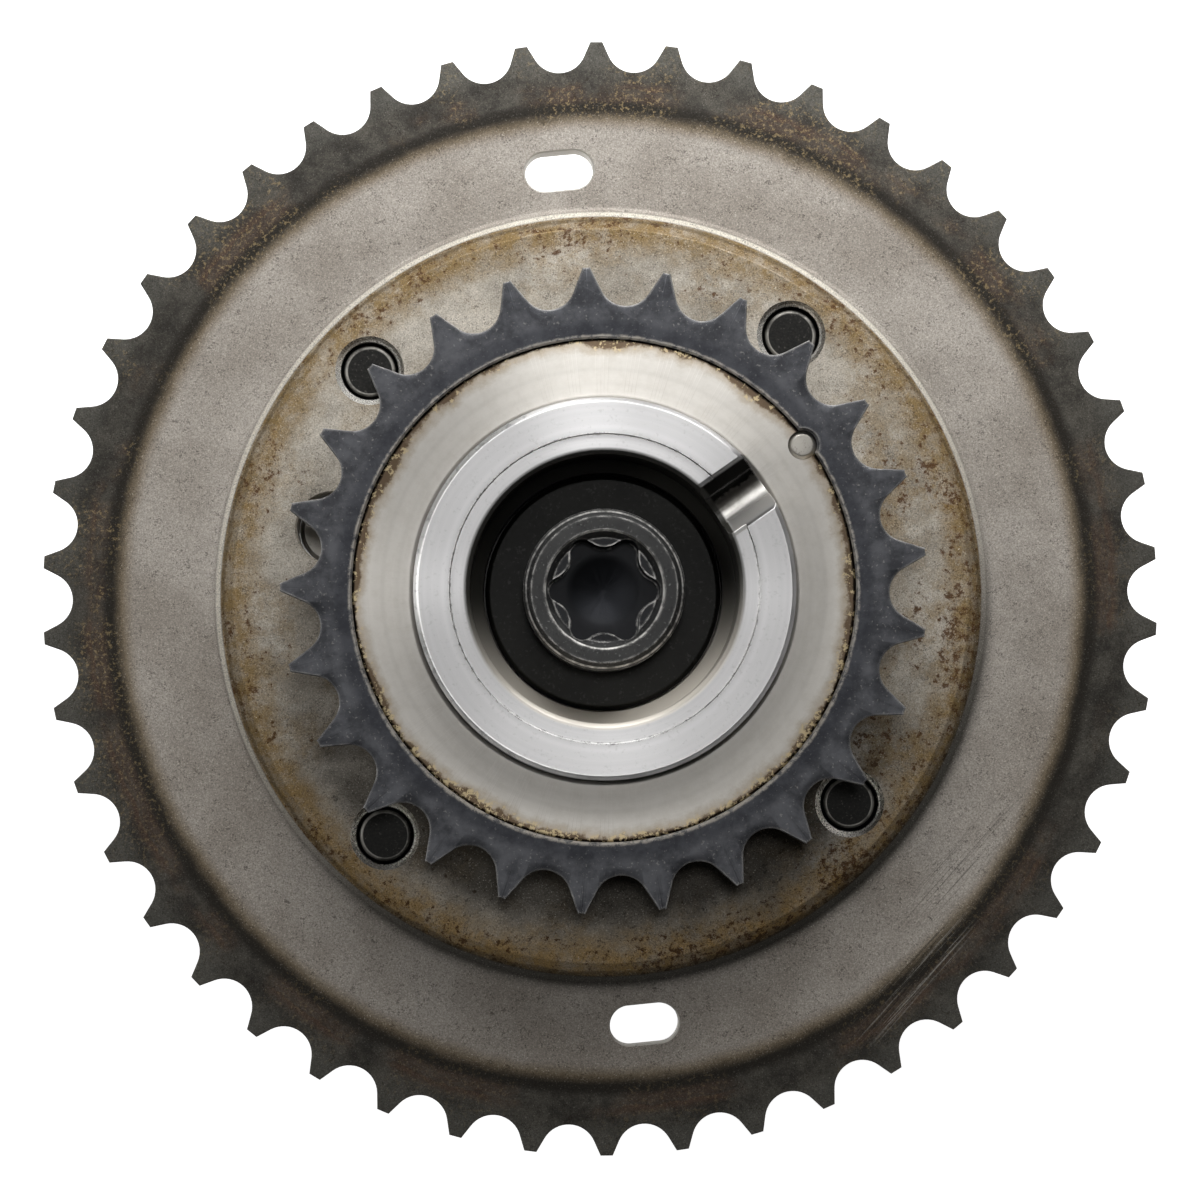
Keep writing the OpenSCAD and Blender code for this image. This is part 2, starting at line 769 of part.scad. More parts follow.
module vane_seal(i) {
    color("black")
        rotate(vane_seal_angles[i])
            seal_strip(chamber_r - run_gap / 2, false);
}

module vane_spring(i) {
    color("silver")
        rotate(vane_seal_angles[i])
            seal_spring(seal_floor_r, true);
}

module lobe_seal(i) {
    color("black")
        rotate(screw_angles[i])
            seal_strip(rotor_hub_r + run_gap / 2, true);
}

module lobe_spring(i) {
    color("silver")
        rotate(screw_angles[i])
            seal_spring(lobe_in_r + seal_h + seal_spring_h, false);
}

// Hollow lock pin, open to the rear for its spring
module lock_pin() {
    top_z = rotor_top_z;
    low_z = top_z - lock_pin_l;
    core_r = lock_pin_r - lock_pin_wall;
    color("silver")
        at_lock()
            rotate_extrude()
                polygon([
                    [core_r, low_z],
                    [lock_head_r - edge, low_z],
                    [lock_head_r, low_z + edge],
                    [lock_head_r, low_z + lock_head_l - edge],
                    [lock_head_r - edge, low_z + lock_head_l],
                    [lock_pin_r, low_z + lock_head_l],
                    [lock_pin_r, top_z - edge],
                    [lock_pin_r - edge, top_z],
                    [0, top_z],
                    [0, top_z - lock_reach],
                    [core_r, top_z - lock_reach]
                ]);
}

// Disc behind the spring, with a post that centres it and a vent hole
module lock_spring_seat() {
    post_r = lock_coil_r - lock_wire_r - screw_gap;
    color("silver")
        at_lock()
            rotate_extrude()
                polygon([
                    [post_r / 2, lock_seat_z],
                    [lock_head_r, lock_seat_z],
                    [lock_head_r, lock_seat_z + lock_seat_t],
                    [post_r, lock_seat_z + lock_seat_t],
                    [post_r, lock_seat_z + 2 * lock_seat_t],
                    [post_r / 2, lock_seat_z + 2 * lock_seat_t]
                ]);
}

// Coil spring swept along a helix as one closed skin
module lock_spring() {
    sides = 8;
    steps = 16 * lock_spring_turns;
    low = lock_spring_low + lock_wire_r;
    rise = lock_spring_top - lock_spring_low - 2 * lock_wire_r;
    ring_points = [for (i = [0 : steps], k = [0 : sides - 1])
        let (a = 360 * lock_spring_turns * i / steps, b = 360 * k / sides, r = lock_coil_r + lock_wire_r * cos(b))
        [r * cos(a), r * sin(a), low + rise * i / steps + lock_wire_r * sin(b)]];
    skin = [for (i = [0 : steps - 1], k = [0 : sides - 1])
        let (a = i * sides + k, b = i * sides + (k + 1) % sides)
        [a, a + sides, b + sides, b]];
    caps = [[for (k = [0 : sides - 1]) k], [for (k = [sides - 1 : -1 : 0]) steps * sides + k]];
    color("silver")
        at_lock()
            polyhedron(ring_points, concat(skin, caps));
}

module lock_bush() {
    color("silver")
        at_lock()
            rotate_extrude()
                polygon([
                    [bush_bore_r + edge, plate_z],
                    [bush_r, plate_z],
                    [bush_r, plate_z + lock_bush_l],
                    [bush_bore_r, plate_z + lock_bush_l],
                    [bush_bore_r, plate_z + edge]
                ]);
}

// Centre bolt that clamps the rotor to the camshaft
module center_bolt() {
    root_r = bolt_r - bolt_thread_depth;
    head_edge = 2 * edge;
    socket_z = bolt_top_z - socket_depth;
    color("dimgray")
        difference() {
            rotate_extrude()
                polygon([
                    [0, bolt_end_z],
                    [root_r - edge, bolt_end_z],
                    [bolt_r, bolt_end_z + edge + bolt_thread_depth],
                    [bolt_r, clamp_z],
                    [root_r, clamp_z + bolt_thread_depth],
                    [root_r, washer_top_z],
                    [bolt_head_r - edge / 2, washer_top_z],
                    [bolt_head_r, washer_top_z + edge / 2],
                    [bolt_head_r, bolt_top_z - head_edge],
                    [bolt_head_r - head_edge, bolt_top_z],
                    [0, bolt_top_z]
                ]);
            translate([0, 0, socket_z])
                linear_extrude(socket_depth + over)
                    lobed_drive(socket_w);
            translate([0, 0, socket_z - socket_cone])
                cylinder(r1 = edge, r2 = drive_valley_share * socket_w / 2 - edge / 2, h = socket_cone + seat_gap);
            translate([0, 0, bolt_top_z - 2 * edge])
                cylinder(r1 = socket_w / 2 - edge, r2 = socket_w / 2 + edge + over, h = 2 * edge + over);
        }
}

module seat_washer() {
    hole_r = bolt_r + screw_gap;
    color("dimgray")
        rotate_extrude()
            polygon([
                [hole_r, washer_z],
                [washer_r - edge, washer_z],
                [washer_r, washer_z + edge],
                [washer_r, washer_top_z - edge],
                [washer_r - edge, washer_top_z],
                [hole_r, washer_top_z]
            ]);
}

sprocket_plate();
secondary_sprocket();
timing_pin();
stator();
rear_cover();
screw(0);  // screw_1
screw(1);  // screw_2
screw(2);  // screw_3
screw(3);  // screw_4
rotor();
vane_seal(0);  // vane_seal_1
vane_seal(1);  // vane_seal_2
vane_seal(2);  // vane_seal_3
vane_seal(3);  // vane_seal_4
vane_spring(0);  // vane_spring_1
vane_spring(1);  // vane_spring_2
vane_spring(2);  // vane_spring_3
vane_spring(3);  // vane_spring_4
lobe_seal(0);  // lobe_seal_1
lobe_seal(1);  // lobe_seal_2
lobe_seal(2);  // lobe_seal_3
lobe_seal(3);  // lobe_seal_4
lobe_spring(0);  // lobe_spring_1
lobe_spring(1);  // lobe_spring_2
lobe_spring(2);  // lobe_spring_3
lobe_spring(3);  // lobe_spring_4
lock_pin();
lock_spring();
lock_spring_seat();
lock_bush();
center_bolt();
seat_washer();
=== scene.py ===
# %% [markdown]
# # A cam phaser with two chain sprockets
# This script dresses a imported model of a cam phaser: the chain-driven housing of an
# engine's variable valve timing. The model gives every piece its real size and place.
# Here each visible piece gets a fine mesh with broken edges, and a steel of its own.

# %% Load the frame
import math

import bmesh
import bpy
from mathutils import Matrix, Vector


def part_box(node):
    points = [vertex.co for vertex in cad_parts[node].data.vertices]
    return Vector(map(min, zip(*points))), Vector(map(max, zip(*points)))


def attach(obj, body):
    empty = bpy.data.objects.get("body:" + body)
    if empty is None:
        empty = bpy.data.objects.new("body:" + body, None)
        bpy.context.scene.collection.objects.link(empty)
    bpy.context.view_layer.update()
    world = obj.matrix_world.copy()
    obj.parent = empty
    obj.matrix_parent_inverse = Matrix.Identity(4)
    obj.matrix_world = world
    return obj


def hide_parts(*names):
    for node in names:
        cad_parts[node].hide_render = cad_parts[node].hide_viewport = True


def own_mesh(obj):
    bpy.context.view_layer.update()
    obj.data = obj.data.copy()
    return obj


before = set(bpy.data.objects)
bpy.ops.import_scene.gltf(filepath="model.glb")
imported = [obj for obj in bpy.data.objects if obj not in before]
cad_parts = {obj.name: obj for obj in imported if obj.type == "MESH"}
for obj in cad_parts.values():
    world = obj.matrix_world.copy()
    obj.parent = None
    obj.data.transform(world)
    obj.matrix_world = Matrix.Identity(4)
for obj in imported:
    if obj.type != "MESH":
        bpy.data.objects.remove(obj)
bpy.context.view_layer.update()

print("nodes in the frame:", len(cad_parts))

# %% [markdown]
# Every length below is in metres, written as millimetres times MM. The heights come from
# the frame's own boxes, so the pieces sit exactly where the model has them.

# %% Heights and radii
MM = 0.001


def heights(node_name):
    """The lowest and the highest point of a node of the model."""
    return [corner.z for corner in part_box(node_name)]


PLATE_Z, HUB_Z = heights("sprocket_plate")
RING_Z, RING_TOP_Z = heights("secondary_sprocket")
WASHER_Z, WASHER_TOP_Z = heights("seat_washer")
BOSS_Z = heights("rotor")[1]
BOLT_TOP_Z = heights("center_bolt")[1]
WEB_T = 3.4 * MM
PLATEAU_RISE = 1.8 * MM
WEB_Z = PLATE_Z + WEB_T
PLATEAU_Z = WEB_Z + PLATEAU_RISE
TOOTH_RELIEF = 0.6 * MM

NOSE_R = 19.63 * MM
PLATE_BORE_R = NOSE_R + 0.05 * MM
SPIGOT_R = 25.98 * MM
NECK_R = 23.98 * MM
SHOULDER_R = 27.58 * MM
SHOULDER_T = 3.4 * MM
STATOR_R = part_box("stator")[1].x
PLATEAU_FOOT_R = STATOR_R + 0.1 * MM
PLATEAU_R = PLATEAU_FOOT_R - 1.4 * MM
BAND_IN_R = 51.31 * MM
SCREW_CIRCLE_R = STATOR_R - 6.3 * MM
LOCK_CIRCLE_R = 29.43 * MM
SLOT_CIRCLE_R = PLATEAU_FOOT_R + 5 * MM
WASHER_R = 12.3 * MM
FRONT_BORE_R = 13.83 * MM
LAND_R = FRONT_BORE_R + 2.05 * MM
BOLT_R = 6 * MM
SCREW_ANGLES = [54, 136, 228, 320]
LOCK_ANGLE = 166.1
SLOT_ANGLE = 95.7
TIMING_PIN_ANGLE = 36.2
TIMING_CIRCLE_R = SPIGOT_R - 0.6 * MM
BOSS_SLOT_ANGLE = 35
print("web front at", round(WEB_Z / MM, 2), "mm, boss at", round(BOSS_Z / MM, 2), "mm")


# %% [markdown]
# A turned piece is a closed profile swept round the axis. Real edges are never sharp, so
# soften() first swaps each corner of the profile for a short curve: it is what catches
# the light along every rim.

# %% Turned pieces
def soften(profile, radius, steps=3):
    """The closed profile with each corner turned into a short curve."""
    soft = []
    count = len(profile)
    for i, corner in enumerate(profile):
        here = Vector(corner)
        before = Vector(profile[i - 1]) - here
        after = Vector(profile[(i + 1) % count]) - here
        if here.x < 1e-9:
            soft.append(tuple(here))
            continue
        start = here + before.normalized() * min(radius, before.length * 0.4)
        end = here + after.normalized() * min(radius, after.length * 0.4)
        for step in range(steps + 1):
            t = step / steps
            soft.append(tuple(start * (1 - t) ** 2 + here * 2 * t * (1 - t) + end * t * t))
    return soft


def skin(strips, rows, closed=False):
    """Faces between neighbouring strips of points, where each strip is a loop."""
    faces = []
    for k in range(strips if closed else strips - 1):
        this, following = k * rows, (k + 1) % strips * rows
        for i in range(rows):
            j = (i + 1) % rows
            faces.append((this + i, this + j, following + j, following + i))
    return faces


def new_piece(name, mesh, material=None):
    if material:
        mesh.materials.append(material)
    piece = bpy.data.objects.new(name, mesh)
    bpy.context.scene.collection.objects.link(piece)
    return piece


def mesh_from(name, points, faces):
    """A mesh with its doubles merged and its faces pointing outwards."""
    mesh = bpy.data.meshes.new(name)
    mesh.from_pydata([tuple(p) for p in points], [], faces)
    edit = bmesh.new()
    edit.from_mesh(mesh)
    bmesh.ops.remove_doubles(edit, verts=edit.verts, dist=0.0005 * MM)
    bmesh.ops.dissolve_degenerate(edit, edges=edit.edges, dist=0.0002 * MM)
    bmesh.ops.recalc_face_normals(edit, faces=edit.faces)
    edit.to_mesh(mesh)
    edit.free()
    return mesh


def turned(name, profile, material, segments=192, soft=0.15 * MM):
    """A closed profile of (radius, height) points swept round the axis."""
    profile = soften(profile, soft) if soft else profile
    points = []
    for k in range(segments):
        turn = 2 * math.pi * k / segments
        points += [(r * math.cos(turn), r * math.sin(turn), z) for r, z in profile]
    return new_piece(name, mesh_from(name, points, skin(segments, len(profile), closed=True)), material)


def place(piece, radius, angle, z=0):
    """Moves a piece's mesh out to a radius and round to an angle in degrees."""
    turn = Matrix.Rotation(math.radians(angle), 4, "Z")
    piece.data.transform(turn @ Matrix.Translation((radius, 0, z)))
    return piece


# %% [markdown]
# Holes are cut with the Boolean modifier. The cutter carries the bright steel of a fresh
# cut, and Transfer mode leaves that steel on the walls it makes. The result is taken
# from the evaluated object, so that no modifier is left on the piece.

# %% Evaluate and cut
CRISP_ANGLE = 32


def keep_result(piece):
    """Turns a piece with modifiers into a plain mesh."""
    bpy.context.view_layer.update()
    graph = bpy.context.evaluated_depsgraph_get()
    mesh = bpy.data.meshes.new_from_object(piece.evaluated_get(graph), depsgraph=graph)
    piece.modifiers.clear()
    piece.data = mesh


def cut(piece, *cutters):
    """Takes the shapes of the cutters out of a piece, and the cutters out of the scene."""
    for cutter in cutters:
        step = piece.modifiers.new("cut", "BOOLEAN")
        step.operation = "DIFFERENCE"
        step.solver = "EXACT"
        step.material_mode = "TRANSFER"
        step.object = cutter
    keep_result(piece)
    for cutter in cutters:
        bpy.data.objects.remove(cutter)


def smooth(piece):
    """Smooth shading, with edges kept crisp where the surface turns more than CRISP_ANGLE."""
    for face in piece.data.polygons:
        face.use_smooth = True
    piece.data.set_sharp_from_angle(angle=math.radians(CRISP_ANGLE))
    weighted = piece.modifiers.new("weighted normals", "WEIGHTED_NORMAL")
    weighted.mode = "FACE_AREA"
    weighted.weight = 100
    weighted.keep_sharp = True
    keep_result(piece)


def finish_piece(piece, body, node_name):
    """Smooths a finished piece and ties it to its body and the node it replaces."""
    smooth(piece)
    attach(piece, body)
    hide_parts(node_name)
    print(piece.name, len(piece.data.polygons), "faces")


# %% [markdown]
# ## Node helpers
# Node trees are easier to read when a node and its inputs are one line. A Graph holds a
# tree and makes nodes in it: numbers set a socket, and sockets are linked to it. Colours
# are written as they look on a screen, from 0 to 255, and turned into linear light.

# %% Graph helper
def linear(colour):
    """Screen values of red, green and blue, as linear light. A socket stays as it is."""
    if not isinstance(colour, tuple):
        return colour
    values = [v / 255 for v in colour]
    return [v / 12.92 if v <= 0.04045 else ((v + 0.055) / 1.055) ** 2.4 for v in values] + [1]


class Graph:
    def __init__(self, tree):
        self.tree = tree

    def put(self, socket, value):
        if isinstance(value, bpy.types.NodeSocket):
            self.tree.links.new(value, socket)
        else:
            socket.default_value = value

    def node(self, kind, out=0, inputs=None, **settings):
        """Makes a node and gives one of its outputs, or the node itself where out is None."""
        made = self.tree.nodes.new(kind)
        for key, value in settings.items():
            setattr(made, key, value)
        for key, value in (inputs or {}).items():
            self.put(made.inputs[key], value)
        return made.outputs[out] if out is not None else made

    def math(self, operation, a, b=0.0, c=0.0, clamp=False):
        return self.node("ShaderNodeMath", inputs={0: a, 1: b, 2: c}, operation=operation, use_clamp=clamp)

    def times(self, first, *others):
        """The product of several values or masks."""
        for other in others:
            first = self.math("MULTIPLY", first, other)
        return first

    def minus(self, a, b):
        return self.math("SUBTRACT", a, b)

    def scaled(self, a, factor, start):
        """a times factor, counted from start."""
        return self.math("MULTIPLY_ADD", a, factor, start)

    def vector(self, operation, *inputs):
        """Vector arithmetic that gives a vector."""
        return self.node("ShaderNodeVectorMath", inputs=dict(enumerate(inputs)), operation=operation)

    def measure(self, operation, *inputs):
        """Vector arithmetic that gives a number."""
        return self.node("ShaderNodeVectorMath", "Value", dict(enumerate(inputs)), operation=operation)

    def turn(self, vector, angle):
        inputs = {"Vector": vector, "Angle": angle}
        return self.node("ShaderNodeVectorRotate", inputs=inputs, rotation_type="Z_AXIS")

    def parts(self, vector):
        return self.node("ShaderNodeSeparateXYZ", None, {0: vector}).outputs

    def mix(self, mask, a, b):
        """One colour fading into another."""
        return self.node("ShaderNodeMix", 2, {0: mask, 6: linear(a), 7: linear(b)}, data_type="RGBA")

    def over(self, colour, layer, mask, share=None):
        """A layer over a colour where the mask says so, at most by the share."""
        return self.mix(mask if share is None else self.times(mask, share), colour, layer)

    def fade(self, value, low, high, to_low=0.0, to_high=1.0):
        """Smooth step of a value from low to high."""
        inputs = {"Value": value, "From Min": low, "From Max": high, "To Min": to_low, "To Max": to_high}
        return self.node("ShaderNodeMapRange", inputs=inputs, interpolation_type="SMOOTHSTEP")

    def between(self, value, low, full_low, high, full_high):
        """1 from full_low to full_high, fading to 0 at low and at high."""
        return self.times(self.fade(value, low, full_low), self.fade(value, high, full_high))

    def noise(self, vector, scale, detail=3.0, roughness=0.55):
        inputs = {"Vector": vector, "Scale": scale, "Detail": detail, "Roughness": roughness}
        return self.node("ShaderNodeTexNoise", inputs=inputs)


FLOAT, WHOLE, VECTOR = "NodeSocketFloat", "NodeSocketInt", "NodeSocketVector"
GEOMETRY, MATERIAL = "NodeSocketGeometry", "NodeSocketMaterial"


def new_group(name, inputs, outputs, kind="ShaderNodeTree"):
    """A node group with named sockets, the graph that fills it, and its two ends. An
    input is given by its type, or by a number that is its default."""
    tree = bpy.data.node_groups.new(name, kind)
    for label, value in inputs.items():
        number = isinstance(value, float)
        socket = tree.interface.new_socket(label, in_out="INPUT", socket_type=FLOAT if number else value)
        if number:
            socket.default_value = value
    for label, socket_type in outputs.items():
        tree.interface.new_socket(label, in_out="OUTPUT", socket_type=socket_type)
    graph = Graph(tree)
    return tree, graph, graph.node("NodeGroupInput", None).outputs, graph.node("NodeGroupOutput", None).inputs

# %% [markdown]
# ## Effects that several steels share
# Each is a group that puts out masks only, so the steels that use it set their own
# colours. Radius measures the distance from the phaser's axis in millimetres: turning
# marks, stains and the hardened band all follow it.

# %% Radius and turning marks
def make_radius_group():
    tree, g, _, result = new_group("axis_radius", {}, {"Radius": FLOAT, "Height": FLOAT, "Place": VECTOR})
    place_here = g.node("ShaderNodeTexCoord", "Object")
    scaled = g.node("ShaderNodeVectorMath", inputs={0: place_here, "Scale": 1 / MM}, operation="SCALE")
    parts = g.parts(scaled)
    flat = g.node("ShaderNodeCombineXYZ", inputs={0: parts[0], 1: parts[1]})
    g.put(result["Radius"], g.measure("LENGTH", flat))
    g.put(result["Height"], parts[2])
    g.put(result["Place"], scaled)
    return tree


def make_turning_group():
    """Fine rings left by a lathe, with slow changes from ring to ring."""
    tree, g, given, result = new_group(
        "turning_marks", {"Radius": 0.0, "Height": 0.0, "Rings per mm": 3.0}, {"Fine": FLOAT, "Broad": FLOAT})
    track = g.times(g.math("ADD", given["Radius"], given["Height"]), given["Rings per mm"])
    line = g.node("ShaderNodeCombineXYZ", inputs={0: track})
    g.put(result["Fine"], g.noise(line, 2.4, 4.0, 0.7))
    g.put(result["Broad"], g.noise(line, 0.35, 2.0, 0.5))
    return tree


AXIS_RADIUS = make_radius_group()
TURNING = make_turning_group()
print("groups:", AXIS_RADIUS.name, TURNING.name)


# %% [markdown]
# Wear shows on edges first. A Bevel node rounds the normal near an edge, and where that
# rounded normal leaves the true one, the finish has been rubbed through to bright steel.

# %% Edge wear, speckle and scratches
def make_edge_group():
    tree, g, given, result = new_group("edge_wear", {"Width": 0.3 * MM, "Place": VECTOR}, {"Worn": FLOAT})
    rounded = g.node("ShaderNodeBevel", inputs={"Radius": given["Width"]}, samples=4)
    true = g.node("ShaderNodeNewGeometry", "Normal")
    turned_away = g.fade(g.measure("DOT_PRODUCT", rounded, true), 0.993, 0.9)
    patches = g.fade(g.noise(given["Place"], 0.9, 4.0, 0.65), 0.3, 0.62, 0.25, 1.0)
    g.put(result["Worn"], g.math("MULTIPLY", turned_away, patches, clamp=True))
    return tree


def make_speckle_group():
    """Small dark pits, pale sparks and slow clouds, as on sintered and blasted steel."""
    tree, g, given, result = new_group(
        "speckle", {"Place": VECTOR, "Grain": 4.5},
        {"Pits": FLOAT, "Sparks": FLOAT, "Grain": FLOAT, "Clouds": FLOAT})
    place_here, size = given["Place"], given["Grain"]
    fine = g.noise(place_here, size, 3.0, 0.7)
    coarse = g.noise(place_here, 1.1, 5.0, 0.7)
    elsewhere = g.vector("ADD", place_here, (41.0, 17.0, 5.0))
    other = g.noise(elsewhere, size, 2.0, 0.6)
    g.put(result["Pits"], g.fade(g.times(fine, coarse), 0.2, 0.14))
    g.put(result["Sparks"], g.fade(g.times(other, fine), 0.33, 0.42))
    g.put(result["Grain"], fine)
    g.put(result["Clouds"], g.noise(place_here, 0.09, 4.0, 0.6))
    return tree


def make_scratch_group():
    """Straight hair scratches along one direction, in scattered places."""
    tree, g, given, result = new_group(
        "scratches", {"Place": VECTOR, "Turn": 0.8, "Amount": 0.5}, {"Scratch": FLOAT})
    turned_place = g.turn(given["Place"], given["Turn"])
    stretched = g.vector("MULTIPLY", turned_place, (0.05, 4.5, 0.3))
    lines = g.fade(g.noise(stretched, 1.0, 3.0, 0.6), 0.66, 0.72)
    elsewhere = g.fade(g.noise(given["Place"], 0.06, 2.0, 0.5), 0.62, 0.45)
    g.put(result["Scratch"], g.math("MULTIPLY", g.minus(lines, elsewhere), given["Amount"], clamp=True))
    return tree


def make_screw_distance_group():
    """Distance in mm from the nearest screw's axis."""
    tree, g, given, result = new_group("screw_distance", {"Place": VECTOR}, {"Distance": FLOAT})
    flat = g.vector("MULTIPLY", given["Place"], (1, 1, 0))
    nearest = 1000.0
    for angle in SCREW_ANGLES:
        turn = math.radians(angle)
        axis = (SCREW_CIRCLE_R / MM * math.cos(turn), SCREW_CIRCLE_R / MM * math.sin(turn), 0)
        nearest = g.math("MINIMUM", nearest, g.measure("DISTANCE", flat, axis))
    g.put(result["Distance"], nearest)
    return tree


EDGE_WEAR = make_edge_group()
SCREW_DISTANCE = make_screw_distance_group()
SPECKLE = make_speckle_group()
SCRATCHES = make_scratch_group()
print("groups:", EDGE_WEAR.name, SCREW_DISTANCE.name, SPECKLE.name, SCRATCHES.name)


# %% [markdown]
# ## Steels
# A Steel is a Graph that starts as a material, with the place on the piece in millimetres
# and the radius from the axis. Each steel starts from one colour, lays others over it
# where a mask says so, and ends with its roughness and the height of its fine relief.

# %% Start a steel
class Steel(Graph):
    def __init__(self, name, metallic, anisotropic=0.0):
        self.material = bpy.data.materials.new(name)
        self.material.use_nodes = True
        super().__init__(self.material.node_tree)
        self.shader = self.tree.nodes["Principled BSDF"].inputs
        self.shader["Metallic"].default_value = metallic
        self.shader["Anisotropic"].default_value = anisotropic
        self.radius, self.height, self.place = self.group(AXIS_RADIUS)
        self.colour = None

    def group(self, tree, **inputs):
        made = self.node("ShaderNodeGroup", None, node_tree=tree)
        for key, value in inputs.items():
            self.put(made.inputs[key.replace("_", " ")], value)
        return made.outputs

    def speckle(self, grain):
        """Pits, sparks, grain and clouds of this steel."""
        return self.group(SPECKLE, Place=self.place, Grain=grain)

    def turning(self, rings=3.0):
        """Fine and broad marks of a lathe."""
        return self.group(TURNING, Radius=self.radius, Height=self.height, Rings_per_mm=rings)

    def uneven(self, scale, detail, roughness):
        """Noise about zero."""
        return self.minus(self.noise(self.place, scale, detail, roughness), 0.5)

    def cloud(self, scale, detail, roughness, low, high, to_low=0.0, to_high=1.0):
        """Patches of noise in the place on the piece, with a soft border."""
        return self.fade(self.noise(self.place, scale, detail, roughness), low, high, to_low, to_high)

    def worn_edges(self, width):
        return self.group(EDGE_WEAR, Width=width, Place=self.place)["Worn"]

    def lay(self, layer, mask, share=None):
        """Lays a colour over the steel where the mask says so."""
        self.colour = self.over(self.colour, layer, mask, share)

    def finish(self, roughness, height, strength, distance=0.03 * MM):
        """Joins the colour, the roughness and a relief of the given height to the shader."""
        self.put(self.shader["Base Color"], self.colour)
        self.put(self.shader["Roughness"], roughness)
        self.put(self.shader["Normal"], self.node("ShaderNodeBump", inputs={
            "Height": height, "Strength": strength, "Distance": distance}))
        print("made", self.material.name)
        return self.material


# %% [markdown]
# The large sprocket is one sintered and machined plate. Its web is warm grey with fine
# speckle, its raised face is more beige with brown rust freckles that gather at the rim,
# and the teeth are induction hardened, which leaves a dark band with a straw and brown
# heat tint at its inner edge. All of these are rings round the axis, so one material
# can hold them.

# %% Rust on the raised face
def rusted_face(s, uneven):
    """Tan stain and brown rust freckles on the raised face, thick at its rim."""
    wavy = s.scaled(uneven, 3.0, s.radius)
    on_face = s.fade(s.radius, 40.45, 40.3)
    clouds = s.cloud(0.16, 5.0, 0.65, 0.35, 0.65)
    s.lay(s.mix(clouds, (150, 143, 131), (190, 183, 171)), on_face)
    rim = s.fade(wavy, 34.6, 38.6)
    inner = s.fade(wavy, 31.5, 27.5)
    sides = s.parts(s.place)
    to_right = s.scaled(sides[1], -0.35, sides[0])
    right = s.fade(to_right, 8.0, 40.0)
    patches = s.cloud(0.12, 3.0, 0.6, 0.4, 0.64)
    spread = s.scaled(patches, 0.45, s.times(rim, 0.5))
    spread = s.scaled(right, 0.3, s.scaled(inner, 0.25, spread))
    streaky = s.cloud(0.45, 8.0, 0.75, 0.36, 0.6)
    wash = s.times(streaky, spread)
    wash = s.math("MAXIMUM", wash, s.times(rim, s.scaled(streaky, 0.55, 0.45)))
    low_side = s.fade(sides[1], -12.0, -36.0)
    tan = s.mix(low_side, (137, 112, 66), (184, 152, 98))
    s.lay(tan, s.times(s.math("MULTIPLY", wash, 0.95, clamp=True), on_face))
    rings = s.node("ShaderNodeCombineXYZ", inputs={0: s.scaled(uneven, 1.5, s.radius)})
    on_ring = s.fade(s.noise(rings, 0.55, 2.0, 0.6), 0.45, 0.6)
    freckles = s.noise(s.place, 1.1, 8.0, 0.78)
    wanted = s.scaled(on_ring, 0.35, spread)
    threshold = s.scaled(wanted, -0.14, 0.665)
    dots = s.times(s.fade(s.minus(freckles, threshold), 0.0, 0.04), on_face)
    s.lay((86, 54, 22), dots, 0.9)
    fine = s.minus(s.noise(s.place, 2.4, 5.0, 0.75), s.scaled(wanted, -0.1, 0.68))
    specks = s.times(s.fade(fine, 0.0, 0.03), on_face)
    s.lay((104, 72, 34), specks, 0.8)
    # Painted shadow of the small sprocket's teeth on the raised face, at the bottom.
    painted_teeth_shadow = s.times(s.fade(wavy, 37.0, 33.0), s.fade(sides[1], -8.0, -25.0))
    s.lay((46, 40, 28), s.times(painted_teeth_shadow, 0.82, on_face))
    nicks = s.times(s.cloud(0.9, 6.0, 0.8, 0.66, 0.69), on_face)
    s.lay((226, 218, 202), nicks, 0.8)
    return s.math("MAXIMUM", dots, s.times(wash, 0.5))


# %% [markdown]
# A tool once skidded over the hardened band at the lower right. Its scratches are noise
# stretched along one direction, shown only within a narrow patch.

# %% Scratch bundle
def scratch_bundle(s, along, across, length, width, depth):
    """A bundle of straight scratches where a tool once skidded over the hardened band."""
    turned_place = s.turn(s.place, math.radians(-48))
    parts = s.parts(turned_place)
    from_middle = s.math("ABSOLUTE", s.minus(parts[0], along))
    from_line = s.math("ABSOLUTE", s.minus(parts[1], across))
    here = s.times(s.fade(from_middle, length, length * 0.4), s.fade(from_line, width, width * 0.3),
                   s.fade(s.height, PLATE_Z / MM + 2, PLATE_Z / MM + 3), depth)
    stretched = s.vector("MULTIPLY", turned_place, (0.05, 4.5, 0.2))
    lines = s.noise(stretched, 1.0, 4.0, 0.75)
    s.lay((150, 146, 138), s.times(s.fade(lines, 0.54, 0.62), here))
    s.lay((40, 37, 32), s.times(s.fade(lines, 0.46, 0.36), here))
